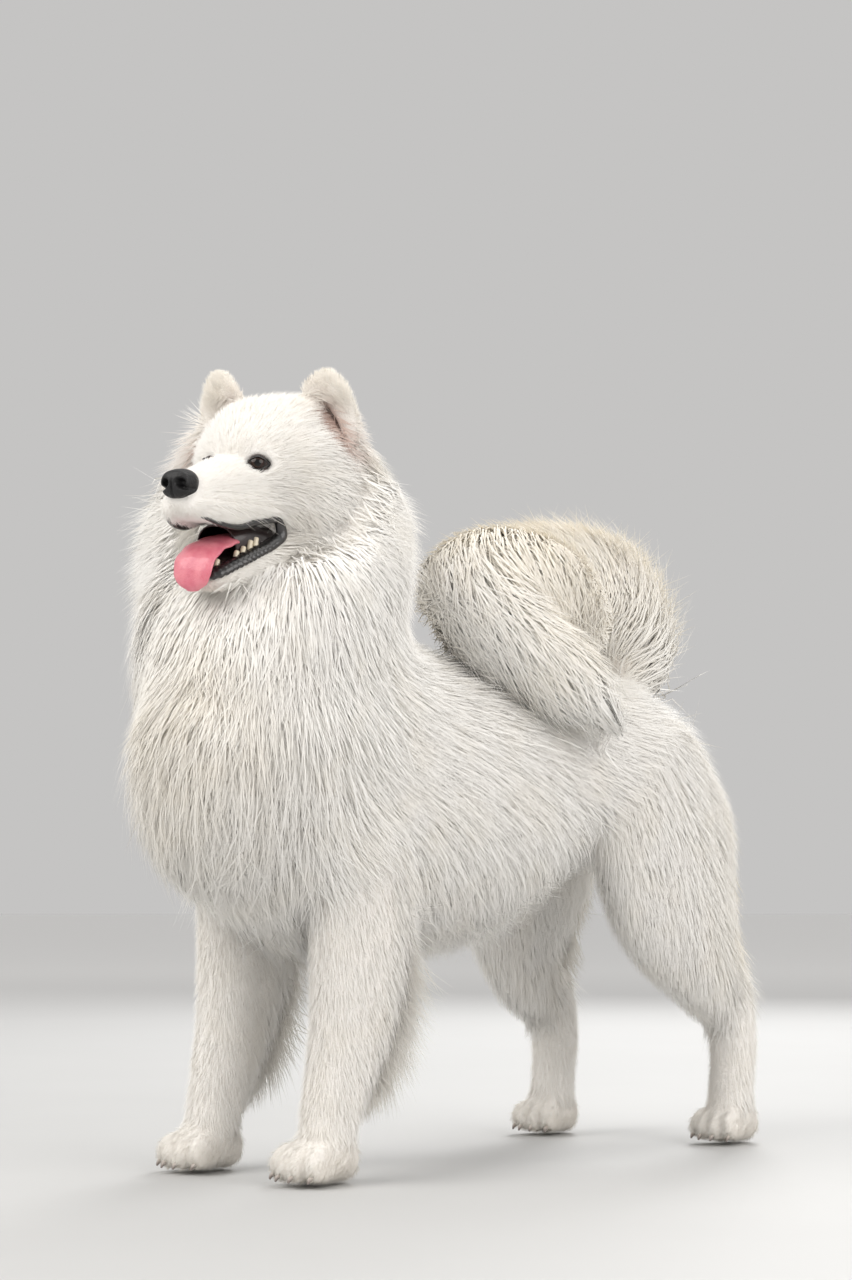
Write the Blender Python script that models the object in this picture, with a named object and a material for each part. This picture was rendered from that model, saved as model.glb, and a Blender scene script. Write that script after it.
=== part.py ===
"""A life-size samoyed, standing square with its head up and its tail over its back.

Metres, +Z up. The dog faces -Y and its left side is at +X. Every form is first placed in the dog's own
frame, whose origin is on the floor midway between the forepaws, and the whole model is then moved so
that its box stands centred over the world origin.

Each sub-part is a loft: rings of a rounded section carried along a smooth path that is read through a
few named stations. The long coat is made of flat, tapered locks, rooted in the loft that carries them.
"""

import math
import random

import bmesh
import bpy
import numpy as np
from mathutils import Matrix, Vector
from mathutils.bvhtree import BVHTree

GAP = 0.0003


def clear_scene():
    for obj in list(bpy.data.objects):
        bpy.data.objects.remove(obj, do_unlink=True)


def material(name, colour, roughness):
    """A plain finish; colour is linear red, green and blue."""
    made = bpy.data.materials.new(name)
    made.use_nodes = True
    shader = made.node_tree.nodes["Principled BSDF"]
    shader.inputs["Base Color"].default_value = (*colour, 1.0)
    shader.inputs["Roughness"].default_value = roughness
    shader.inputs["Metallic"].default_value = 0.0
    return made


def new_object(name, points, faces, finish=None):
    mesh = bpy.data.meshes.new(name)
    mesh.from_pydata([tuple(p) for p in points], [], [tuple(f) for f in faces])
    shape = bmesh.new()
    shape.from_mesh(mesh)
    bmesh.ops.recalc_face_normals(shape, faces=shape.faces)
    bmesh.ops.triangulate(shape, faces=shape.faces)
    shape.to_mesh(mesh)
    shape.free()
    obj = bpy.data.objects.new(name, mesh)
    bpy.context.scene.collection.objects.link(obj)
    if finish:
        mesh.materials.append(finish)
    return obj


def smooth_rows(rows, count):
    """Rows read at even steps along a Catmull-Rom curve through the given ones."""
    rows = np.array(rows, float)
    steps = np.linalg.norm(np.diff(rows[:, :3], axis=0), axis=1)
    along = np.concatenate([[0.0], np.cumsum(np.maximum(steps, 1e-6))])
    slopes = np.gradient(rows, along, axis=0)
    wanted = np.linspace(0.0, along[-1], count)
    index = np.clip(np.searchsorted(along, wanted, side="right") - 1, 0, len(along) - 2)
    width = (along[index + 1] - along[index])[:, None]
    t = (wanted - along[index])[:, None] / width
    start, end = rows[index], rows[index + 1]
    return (
        start * (1 + 2 * t) * (1 - t) ** 2
        + end * t * t * (3 - 2 * t)
        + slopes[index] * width * t * (1 - t) ** 2
        - slopes[index + 1] * width * t * t * (1 - t)
    )


class Form:
    """Sections carried along a path.

    Each row is x, y, z, half width, half height above the path, half height below it, and squareness,
    where 2 is an ellipse. The width lies along side, which may turn to last_side on the way. A place on
    the form is a share of the path, from 0 to 1, and an angle, from the side over the top.
    """

    def __init__(self, rows, side=(1.0, 0.0, 0.0), last_side=None):
        rows = smooth_rows(rows, 121)
        self.centre, self.size, self.power = rows[:, :3], rows[:, 3:6], rows[:, 6]
        tangent = np.gradient(self.centre, axis=0)
        self.tangent = tangent / np.linalg.norm(tangent, axis=1)[:, None]
        turn = np.linspace(0.0, 1.0, len(rows))[:, None]
        across = (1 - turn) * np.array(side, float) + turn * np.array(last_side or side, float)
        across -= (self.tangent * across).sum(axis=1)[:, None] * self.tangent
        self.across = across / np.linalg.norm(across, axis=1)[:, None]
        self.upward = np.cross(self.across, self.tangent)
        self.length = np.linalg.norm(np.diff(self.centre, axis=0), axis=1).sum()

    def at(self, share, angle, inset=0.0):
        """The point on the section at this share and angle, drawn in by the inset."""
        place = np.clip(share, 0.0, 1.0) * (len(self.centre) - 1)
        low = min(int(place), len(self.centre) - 2)
        part = place - low

        def read(rows):
            return rows[low] * (1 - part) + rows[low + 1] * part

        size = np.maximum(read(self.size) - inset, 0.004)
        cosine, sine = math.cos(angle), math.sin(angle)
        power = 2.0 / read(self.power)
        flat = math.copysign(abs(cosine) ** power, cosine) * size[0]
        high = math.copysign(abs(sine) ** power, sine) * (size[1] if sine > 0 else size[2])
        spot = read(self.centre) + flat * read(self.across) + high * read(self.upward)
        beyond = share - min(max(share, 0.0), 1.0)
        return spot + beyond * self.length * self.tangent[low]


def loft(name, rows, sides, rings, finish=None, side=(1.0, 0.0, 0.0), caps=3, last_side=None, inset=0.0):
    """The closed skin of a form, its ends rounded off by a few shrinking rings."""
    form = Form(rows, side, last_side)
    angles = np.linspace(0.0, 2 * math.pi, sides, endpoint=False)
    points = []
    turns = [math.pi / 2 * k / caps for k in range(1, caps)]
    for turn in turns[::-1]:
        points += cap_ring(form, 0, turn, angles, inset)
    for share in np.linspace(0.0, 1.0, rings):
        points += [form.at(share, angle, inset) for angle in angles]
    for turn in turns:
        points += cap_ring(form, -1, turn, angles, inset)
    count = len(points) // sides
    points += cap_ring(form, 0, math.pi / 2, angles[:1], inset) + cap_ring(form, -1, math.pi / 2, angles[:1], inset)
    faces = []
    for ring in range(count - 1):
        for k in range(sides):
            after = (k + 1) % sides
            low = ring * sides
            faces.append((low + k, low + after, low + sides + after, low + sides + k))
    top = (count - 1) * sides
    for k in range(sides):
        after = (k + 1) % sides
        faces.append((after, k, len(points) - 2))
        faces.append((top + k, top + after, len(points) - 1))
    return new_object(name, points, faces, finish)


def cap_ring(form, end, turn, angles, inset):
    """A ring of the dome over one end: the end section shrunk by the cosine and moved out by the sine."""
    share = 0.0 if end == 0 else 1.0
    reach = 0.6 * (form.size[end].min() - inset) * math.sin(turn)
    step = form.tangent[end] * (reach if end else -reach)
    middle = form.centre[end]
    return [middle + step + (form.at(share, angle, inset) - middle) * math.cos(turn) for angle in angles]


def closed_loft(name, rows, sides, rings, finish):
    """A tube whose path closes on itself; rings are read a third beyond each end and the overlap dropped."""
    rows = smooth_rows([*rows, *rows, *rows, rows[0]], 3 * rings + 1)[rings:2 * rings]
    centre, size = rows[:, :3], rows[:, 3:6]
    tangent = np.roll(centre, -1, axis=0) - np.roll(centre, 1, axis=0)
    tangent /= np.linalg.norm(tangent, axis=1)[:, None]
    middle = centre.mean(axis=0)
    outward = centre - middle
    outward -= (outward * tangent).sum(axis=1)[:, None] * tangent
    outward /= np.linalg.norm(outward, axis=1)[:, None]
    upward = np.cross(outward, tangent)
    angle = np.linspace(0.0, 2 * math.pi, sides, endpoint=False)
    points = (
        centre[:, None]
        + outward[:, None] * (np.cos(angle) * size[:, 0:1])[..., None]
        + upward[:, None] * (np.sin(angle) * size[:, 1:2])[..., None]
    ).reshape(-1, 3)
    faces = [
        (r * sides + k, r * sides + (k + 1) % sides,
         (r + 1) % rings * sides + (k + 1) % sides, (r + 1) % rings * sides + k)
        for r in range(rings) for k in range(sides)
    ]
    return new_object(name, points, faces, finish)


def applied(obj):
    """Bakes the object's modifiers into its mesh."""
    bpy.context.view_layer.update()
    graph = bpy.context.evaluated_depsgraph_get()
    mesh = bpy.data.meshes.new_from_object(obj.evaluated_get(graph))
    old = obj.data
    obj.modifiers.clear()
    obj.data = mesh
    bpy.data.meshes.remove(old)
    return obj


def boolean(obj, other, operation, solver="EXACT"):
    modifier = obj.modifiers.new(operation.lower(), "BOOLEAN")
    modifier.operation = operation
    modifier.solver = solver
    if isinstance(other, bpy.types.Collection):
        modifier.operand_type = "COLLECTION"
        modifier.collection = other
    else:
        modifier.object = other
    return applied(obj)


def remove(*objects):
    for obj in objects:
        bpy.data.objects.remove(obj, do_unlink=True)


def fuse(obj, pieces, solver="MANIFOLD"):
    """Joins the pieces to obj in one union and drops them."""
    group = bpy.data.collections.new("pieces")
    bpy.context.scene.collection.children.link(group)
    for piece in pieces:
        bpy.context.scene.collection.objects.unlink(piece)
        group.objects.link(piece)
    boolean(obj, group, "UNION", solver)
    remove(*pieces)
    bpy.data.collections.remove(group)
    return keep_largest(obj)


def keep_largest(obj):
    """Keeps the closed surface with the most volume."""
    shape = bmesh.new()
    shape.from_mesh(obj.data)
    shape.faces.ensure_lookup_table()
    seen, shells = set(), []
    for face in shape.faces:
        if face.index in seen:
            continue
        shell, front = [], [face]
        seen.add(face.index)
        while front:
            current = front.pop()
            shell.append(current)
            for edge in current.edges:
                for near in edge.link_faces:
                    if near.index not in seen:
                        seen.add(near.index)
                        front.append(near)
        shells.append(shell)
    if len(shells) > 1:
        def extent(shell):
            points = [v.co for f in shell for v in f.verts]
            return sum(max(p[k] for p in points) - min(p[k] for p in points) for k in range(3))

        largest = max(shells, key=extent)
        loose = [f for shell in shells if shell is not largest for f in shell]
        bmesh.ops.delete(shape, geom=loose, context="FACES")
    shape.to_mesh(obj.data)
    shape.free()
    return obj


FORMS = {}


def keep_form(obj, margin=GAP):
    """Stores the form of obj, standing out by the margin, for its neighbours to be cut clear of."""
    mesh = obj.data.copy()
    count = len(mesh.vertices)
    points, normals = np.empty(count * 3), np.empty(count * 3)
    mesh.vertices.foreach_get("co", points)
    mesh.vertex_normals.foreach_get("vector", normals)
    mesh.vertices.foreach_set("co", points + margin * normals)
    FORMS[obj.name] = mesh


def clear_of(obj, *names):
    """Cuts obj back so that it stays clear of the named forms."""
    for name in names:
        cutter = bpy.data.objects.new("cutter", FORMS[name])
        bpy.context.scene.collection.objects.link(cutter)
        boolean(obj, cutter, "DIFFERENCE", "MANIFOLD")
        remove(cutter)
    return keep_largest(obj)


def block(low, high):
    """A box between two corners, as a cutter."""
    points = [(x, y, z) for x in (low[0], high[0]) for y in (low[1], high[1]) for z in (low[2], high[2])]
    faces = [(0, 1, 3, 2), (4, 6, 7, 5), (0, 4, 5, 1), (2, 3, 7, 6), (0, 2, 6, 4), (1, 5, 7, 3)]
    return new_object("block", points, faces)


# Finishes

WHITE_COAT = material("white_coat", (0.82, 0.80, 0.76), 0.85)
CREAM_COAT = material("cream_coat", (0.78, 0.72, 0.62), 0.85)
EAR_COAT = material("ear_coat", (0.80, 0.74, 0.70), 0.85)
BLACK_LEATHER = material("black_leather", (0.012, 0.012, 0.013), 0.4)
DARK_EYE = material("dark_eye", (0.02, 0.010, 0.007), 0.08)
PINK_TONGUE = material("pink_tongue", (0.62, 0.17, 0.20), 0.35)

# How far the core of each coated sub-part lies inside the tips of its locks

TORSO_COAT, NECK_COAT, TAIL_COAT, THIGH_COAT, FORELEG_COAT = 0.022, 0.032, 0.028, 0.018, 0.014

# Torso, whose stations run from the breast to the buttocks: x, y, z, half width, up, down, squareness

TORSO = (
    (0, -0.080, 0.410, 0.104, 0.115, 0.125, 2.0),
    (0, -0.035, 0.420, 0.138, 0.145, 0.172, 2.1),
    (0, 0.050, 0.430, 0.152, 0.155, 0.187, 2.2),
    (0, 0.150, 0.430, 0.154, 0.150, 0.196, 2.2),
    (0, 0.250, 0.435, 0.148, 0.142, 0.190, 2.2),
    (0, 0.350, 0.450, 0.140, 0.128, 0.168, 2.2),
    (0, 0.450, 0.460, 0.140, 0.115, 0.140, 2.2),
    (0, 0.530, 0.455, 0.126, 0.108, 0.125, 2.1),
    (0, 0.570, 0.450, 0.098, 0.085, 0.100, 2.0),
)

# Neck with its ruff, from between the shoulders to the back of the skull

NECK = (
    (0, 0.030, 0.450, 0.128, 0.120, 0.130, 2.0),
    (-0.008, 0.020, 0.520, 0.152, 0.152, 0.155, 2.0),
    (-0.015, 0.012, 0.595, 0.162, 0.120, 0.145, 2.1),
    (-0.016, 0.024, 0.650, 0.166, 0.062, 0.118, 2.1),
    (-0.014, 0.032, 0.705, 0.158, 0.046, 0.098, 2.1),
    (-0.008, 0.040, 0.765, 0.134, 0.040, 0.078, 2.1),
    (0, 0.046, 0.800, 0.096, 0.030, 0.046, 2.0),
)

# The forms that some locks follow: the ruff's over the breast, the breast's own down to between the
# forelegs, and the rump's from the tail down to between the thighs

RUFF = (
    (0, 0.030, 0.300, 0.140, 0.140, 0.100, 2.0),
    (0, 0.030, 0.380, 0.154, 0.162, 0.200, 2.0),
    (0, 0.028, 0.450, 0.156, 0.160, 0.250, 2.0),
    (-0.008, 0.020, 0.520, 0.152, 0.152, 0.230, 2.0),
    (-0.015, 0.012, 0.595, 0.162, 0.120, 0.175, 2.1),
    *NECK[3:],
)
BREAST = (
    (0, 0.030, 0.480, 0.146, 0.120, 0.165, 2.0),
    (0, 0.030, 0.390, 0.150, 0.120, 0.170, 2.0),
    (0, 0.030, 0.310, 0.138, 0.120, 0.150, 2.0),
    (0, 0.035, 0.250, 0.110, 0.100, 0.115, 2.0),
    (0, 0.040, 0.220, 0.070, 0.080, 0.070, 2.0),
)
RUMP = (
    (0, 0.500, 0.550, 0.090, 0.100, 0.050, 2.0),
    (0, 0.500, 0.460, 0.118, 0.138, 0.050, 2.0),
    (0, 0.500, 0.380, 0.110, 0.126, 0.050, 2.0),
    (0, 0.500, 0.310, 0.070, 0.094, 0.050, 2.0),
)

# Tail: up from the croup, over the back and down on the left flank

TAIL = (
    (0.000, 0.560, 0.520, 0.050, 0.050, 0.050, 2.0),
    (0.004, 0.560, 0.580, 0.058, 0.060, 0.065, 2.0),
    (0.012, 0.515, 0.635, 0.066, 0.065, 0.075, 2.0),
    (0.022, 0.430, 0.655, 0.070, 0.066, 0.078, 2.0),
    (0.045, 0.325, 0.642, 0.074, 0.070, 0.082, 2.0),
    (0.080, 0.255, 0.605, 0.070, 0.070, 0.076, 2.0),
    (0.122, 0.275, 0.570, 0.052, 0.055, 0.058, 2.0),
    (0.150, 0.320, 0.528, 0.042, 0.045, 0.047, 2.0),
    (0.169, 0.354, 0.499, 0.020, 0.024, 0.024, 2.0),
)
TAIL_CUTS = (0.36, 0.66)

# Legs: the left forepaw and the left hind paw stand further back

FORELEG_X, FORE_STAGGER = 0.088, 0.006
HIND_X, HIND_Y, HIND_STAGGER = 0.112, 0.588, 0.038
FOREPAW_SCALE, HINDPAW_SCALE = 1.0, 0.9


def foreleg_rows(sign):
    x, y = sign * FORELEG_X, sign * FORE_STAGGER
    return (
        (x, y + 0.055, 0.37, 0.046, 0.085, 0.070, 2.0),
        (x, y + 0.050, 0.29, 0.046, 0.090, 0.064, 2.0),
        (x, y + 0.040, 0.21, 0.044, 0.090, 0.052, 2.0),
        (x, y + 0.028, 0.14, 0.039, 0.078, 0.042, 2.0),
        (x, y + 0.014, 0.08, 0.036, 0.054, 0.037, 2.0),
        (x, y + 0.004, 0.040, 0.034, 0.034, 0.034, 2.0),
    )


def foreleg_core(sign):
    """The foreleg without its fringe: nearly its own size in front and narrower behind."""
    return [(*row[:3], row[3] - 0.002, max(row[4] - 0.034, 0.030), row[5] - 0.002, row[6])
            for row in foreleg_rows(sign)]


def thigh_rows(sign):
    x, y = sign * HIND_X, HIND_Y + sign * HIND_STAGGER
    lean = y - HIND_Y
    return (
        (0.76 * x, 0.485, 0.470, 0.058, 0.100, 0.110, 2.0),
        (0.88 * x, 0.503 + 0.2 * lean, 0.380, 0.064, 0.128, 0.118, 2.0),
        (0.96 * x, 0.515 + 0.5 * lean, 0.290, 0.058, 0.110, 0.112, 2.0),
        (x, y - 0.040, 0.205, 0.042, 0.062, 0.070, 2.0),
        (x, y + 0.002, 0.150, 0.033, 0.034, 0.038, 2.0),
    )


def shank_rows(sign):
    x, y = sign * HIND_X, HIND_Y + sign * HIND_STAGGER
    return (
        (x, y + 0.003, 0.170, 0.024, 0.027, 0.030, 2.0),
        (x, y + 0.008, 0.130, 0.029, 0.031, 0.031, 2.0),
        (x, y + 0.005, 0.080, 0.028, 0.030, 0.030, 2.0),
        (x, y + 0.000, 0.036, 0.030, 0.030, 0.030, 2.0),
    )


# Head, in its own frame: the nose points to -Y and the origin lies midway between the ears

HEAD_AT = Vector((0.002, 0.003, 0.768))
HEAD_YAW, HEAD_PITCH, HEAD_ROLL = math.radians(16.6), math.radians(4.3), math.radians(4.4)
HEAD_TURN = (
    Matrix.Translation(HEAD_AT)
    @ Matrix.Rotation(HEAD_YAW, 4, "Z")
    @ Matrix.Rotation(HEAD_PITCH, 4, "X")
    @ Matrix.Rotation(HEAD_ROLL, 4, "Y")
)
SKULL = (
    (0, 0.060, -0.020, 0.070, 0.060, 0.075, 2.0),
    (0, 0.020, -0.020, 0.092, 0.079, 0.088, 2.3),
    (0, -0.020, -0.025, 0.086, 0.082, 0.076, 2.3),
    (0, -0.040, -0.030, 0.072, 0.084, 0.064, 2.1),
    (0, -0.060, -0.040, 0.052, 0.058, 0.046, 2.1),
    (0, -0.075, -0.045, 0.046, 0.040, 0.040, 2.1),
    (0, -0.090, -0.046, 0.040, 0.033, 0.039, 2.2),
    (0, -0.120, -0.053, 0.035, 0.030, 0.034, 2.3),
    (0, -0.145, -0.057, 0.031, 0.028, 0.030, 2.3),
    (0, -0.160, -0.063, 0.025, 0.021, 0.023, 2.2),
)
JAW = (
    (0, 0.010, -0.100, 0.066, 0.045, 0.048, 2.0),
    (0, -0.035, -0.112, 0.054, 0.030, 0.040, 2.0),
    (0, -0.072, -0.130, 0.039, 0.011, 0.027, 2.1),
    (0, -0.105, -0.136, 0.030, 0.007, 0.020, 2.2),
    (0, -0.128, -0.143, 0.020, 0.006, 0.011, 2.2),
)
# One side of the lips, from the middle of the upper lip to the corner and on to the middle of the lower:
# x, y, z, half width, up, down, squareness
LIPS = (
    (0.000, -0.171, -0.084, 0.003, 0.003, 0.003, 2.0),
    (0.019, -0.160, -0.081, 0.003, 0.003, 0.003, 2.0),
    (0.030, -0.135, -0.084, 0.003, 0.003, 0.003, 2.0),
    (0.035, -0.105, -0.082, 0.003, 0.003, 0.003, 2.0),
    (0.040, -0.072, -0.077, 0.004, 0.004, 0.004, 2.0),
    (0.046, -0.050, -0.087, 0.005, 0.005, 0.005, 2.0),
    (0.044, -0.058, -0.106, 0.006, 0.006, 0.006, 2.0),
    (0.036, -0.083, -0.119, 0.006, 0.006, 0.006, 2.0),
    (0.029, -0.110, -0.128, 0.006, 0.006, 0.006, 2.0),
    (0.016, -0.132, -0.137, 0.005, 0.005, 0.005, 2.0),
    (0.000, -0.138, -0.139, 0.005, 0.005, 0.005, 2.0),
)
TONGUE = (
    (0.000, -0.045, -0.097, 0.018, 0.006, 0.006, 2.0),
    (0.003, -0.080, -0.100, 0.021, 0.005, 0.006, 2.2),
    (0.004, -0.112, -0.108, 0.020, 0.005, 0.005, 2.2),
    (0.003, -0.136, -0.119, 0.020, 0.005, 0.005, 2.2),
    (0.001, -0.150, -0.133, 0.020, 0.0045, 0.0045, 2.2),
    (0.000, -0.153, -0.147, 0.016, 0.004, 0.004, 2.2),
)
TEETH = ((0.028, -0.090, -0.116), (0.033, -0.076, -0.111))
TOOTH_RADIUS, TOOTH_HEIGHT = 0.0035, 0.010
NOSE = (
    (0, -0.150, -0.045, 0.014, 0.014, 0.012, 2.2),
    (0, -0.164, -0.045, 0.020, 0.017, 0.016, 2.4),
    (0, -0.173, -0.046, 0.018, 0.015, 0.015, 2.4),
)
NOSTRIL_X, NOSTRIL_Y, NOSTRIL_Z, NOSTRIL_RADIUS = 0.0095, -0.181, -0.046, 0.0052
EYE = Vector((0.0295, -0.0705, -0.0165))
EYE_RADIUS = 0.0105
EYE_AIM = Vector((0.56, -0.83, 0.02)).normalized()
LID_LONG, LID_HIGH, LID_THICK = 0.0135, 0.0088, 0.0022
EAR = (
    (0.070, 0.006, 0.016, 0.036, 0.022, 0.022, 2.0),
    (0.074, 0.005, 0.043, 0.034, 0.018, 0.018, 2.0),
    (0.077, 0.003, 0.066, 0.027, 0.013, 0.013, 2.0),
    (0.079, 0.001, 0.080, 0.018, 0.009, 0.009, 2.0),
    (0.080, 0.000, 0.088, 0.012, 0.007, 0.007, 2.0),
)
EAR_CUP = (
    (0.078, -0.016, 0.010, 0.012, 0.010, 0.010, 2.0),
    (0.080, -0.014, 0.038, 0.016, 0.013, 0.013, 2.0),
    (0.082, -0.010, 0.066, 0.008, 0.007, 0.008, 2.0),
)
EAR_WIDTH_LIES = (0.97, 0.25)


def paw(name, x, y, scale):
    """A round foot with four arched toes, standing on one flat sole."""
    pad = loft(
        name,
        (
            (x, y + 0.026 * scale, 0.022, 0.029 * scale, 0.026, 0.030, 2.2),
            (x, y - 0.002 * scale, 0.027, 0.037 * scale, 0.030, 0.034, 2.2),
            (x, y - 0.026 * scale, 0.022, 0.033 * scale, 0.024, 0.030, 2.2),
        ),
        9, 4, WHITE_COAT, caps=2,
    )
    toes = []
    for spread in (-1.5, -0.5, 0.5, 1.5):
        ahead = 0.046 if abs(spread) < 1 else 0.037
        toes.append(loft(
            "toe",
            (
                (x + 0.015 * spread * scale, y - 0.012 * scale, 0.021, 0.0125 * scale, 0.020, 0.025, 2.0),
                (x + 0.020 * spread * scale, y - ahead * scale, 0.016, 0.0110 * scale, 0.014, 0.019, 2.0),
            ),
            5, 2, caps=2,
        ))
    fuse(pad, toes)
    floor = block((x - 1, y - 1, -1), (x + 1, y + 1, 0.0))
    boolean(pad, floor, "DIFFERENCE", "MANIFOLD")
    remove(floor)
    return pad


def mirrored(rows):
    return [(-row[0], *row[1:]) for row in rows]


def ball(name, centre, radius, finish=None, segments=12, rings=7):
    mesh = bpy.data.meshes.new(name)
    shape = bmesh.new()
    bmesh.ops.create_uvsphere(shape, u_segments=segments, v_segments=rings, radius=radius)
    shape.to_mesh(mesh)
    shape.free()
    mesh.transform(Matrix.Translation(centre))
    obj = bpy.data.objects.new(name, mesh)
    bpy.context.scene.collection.objects.link(obj)
    if finish:
        mesh.materials.append(finish)
    return obj


def eye_frame(sign):
    """Places x along the eye, y up and z out of the face."""
    aim = Vector((sign * EYE_AIM.x, EYE_AIM.y, EYE_AIM.z))
    long = Vector((0, 0, 1)).cross(aim).normalized()
    high = aim.cross(long)
    turn = Matrix((long, high, aim)).transposed().to_4x4()
    return Matrix.Translation(Vector((sign * EYE.x, EYE.y, EYE.z))) @ turn


def eye_parts(side, sign):
    """An eyeball in an almond opening, with the rim of the lids round it."""
    frame = eye_frame(sign)
    eye = ball(f"eye_{side}", (0, 0, 0), EYE_RADIUS, DARK_EYE)
    eye.data.transform(frame)
    rim = []
    for k in range(12):
        turn = 2 * math.pi * k / 12
        rim.append((LID_LONG * math.cos(turn), LID_HIGH * math.sin(turn) * (1 - 0.25 * abs(math.cos(turn))),
                    0.0085 - 0.003 * math.cos(turn) ** 2, LID_THICK, LID_THICK, LID_THICK, 2.0))
    lids = closed_loft(f"eyelids_{side}", rim, 5, 12, BLACK_LEATHER)
    lids.data.transform(frame)
    opening = ball("opening", (0, 0, 0), 1.0, None, 12, 7)
    opening.data.transform(frame @ Matrix.Translation((0, 0, 0.012))
                           @ Matrix.Diagonal((LID_LONG, LID_HIGH, 0.009, 1)))
    return eye, lids, opening


HEAD_FORMS = ("head", "lower_jaw", "lips", "ear_left", "ear_right")


def head_parts():
    head = loft("head", SKULL, 18, 15, WHITE_COAT, caps=2)
    jaw = loft("lower_jaw", JAW, 10, 6, WHITE_COAT, caps=2)
    lips = closed_loft("lips", [*LIPS, *mirrored(LIPS[-2:0:-1])], 5, 26, BLACK_LEATHER)
    tongue = loft("tongue", TONGUE, 10, 9, PINK_TONGUE, caps=2)
    nose = loft("nose", NOSE, 10, 4, BLACK_LEATHER, caps=2)
    teeth = []
    for x, y, z in TEETH:
        for sign in (1, -1):
            rows = (
                (sign * x, y, z - 0.006, TOOTH_RADIUS, TOOTH_RADIUS, TOOTH_RADIUS, 2.0),
                (sign * x, y, z, TOOTH_RADIUS, TOOTH_RADIUS, TOOTH_RADIUS, 2.0),
                (sign * x, y, z + TOOTH_HEIGHT, 0.001, 0.001, 0.001, 2.0),
            )
            teeth.append(loft("tooth", rows, 4, 3, caps=1))
    for piece in (head, jaw, lips, tongue, nose):
        keep_form(piece)
    fuse(jaw, teeth)
    for sign in (1, -1):
        nostril = ball("nostril", (sign * NOSTRIL_X, NOSTRIL_Y, NOSTRIL_Z), NOSTRIL_RADIUS, None, 8, 6)
        boolean(nose, nostril, "DIFFERENCE", "MANIFOLD")
        remove(nostril)
    clear_of(head, "nose", "lips", "tongue")
    clear_of(jaw, "head", "lips", "tongue")
    clear_of(tongue, "lips")
    pieces = [head, jaw, lips, tongue, nose]
    for side, sign in (("left", 1), ("right", -1)):
        rows, cup_rows = (EAR, EAR_CUP) if sign > 0 else (mirrored(EAR), mirrored(EAR_CUP))
        wide = (EAR_WIDTH_LIES[0], EAR_WIDTH_LIES[1] * sign, 0)
        ear = loft(f"ear_{side}", rows, 10, 6, EAR_COAT, side=wide, caps=2)
        keep_form(ear)
        cup = loft("cup", cup_rows, 8, 5, side=wide)
        boolean(ear, cup, "DIFFERENCE", "MANIFOLD")
        remove(cup)
        eye, lids, opening = eye_parts(side, sign)
        keep_form(eye)
        keep_form(lids)
        boolean(head, opening, "DIFFERENCE", "MANIFOLD")
        remove(opening)
        clear_of(lids, eye.name)
        clear_of(head, lids.name, eye.name)
        clear_of(ear, "head")
        pieces += [ear, eye, lids]
    for piece in pieces:
        piece.data.transform(HEAD_TURN)
    for name in HEAD_FORMS:
        FORMS[name].transform(HEAD_TURN)
    return pieces


# Sections of a lock before its tip: share of its length, of its width, of its thickness, and of the coat's depth

ONE_BEND = ((0.0, 0.6, 0.8, 1.0), (0.45, 1.0, 1.0, 0.60))
TWO_BENDS = ((0.0, 0.6, 0.8, 1.0), (0.34, 1.0, 1.0, 0.72), (0.70, 0.72, 0.8, 0.30))


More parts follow.
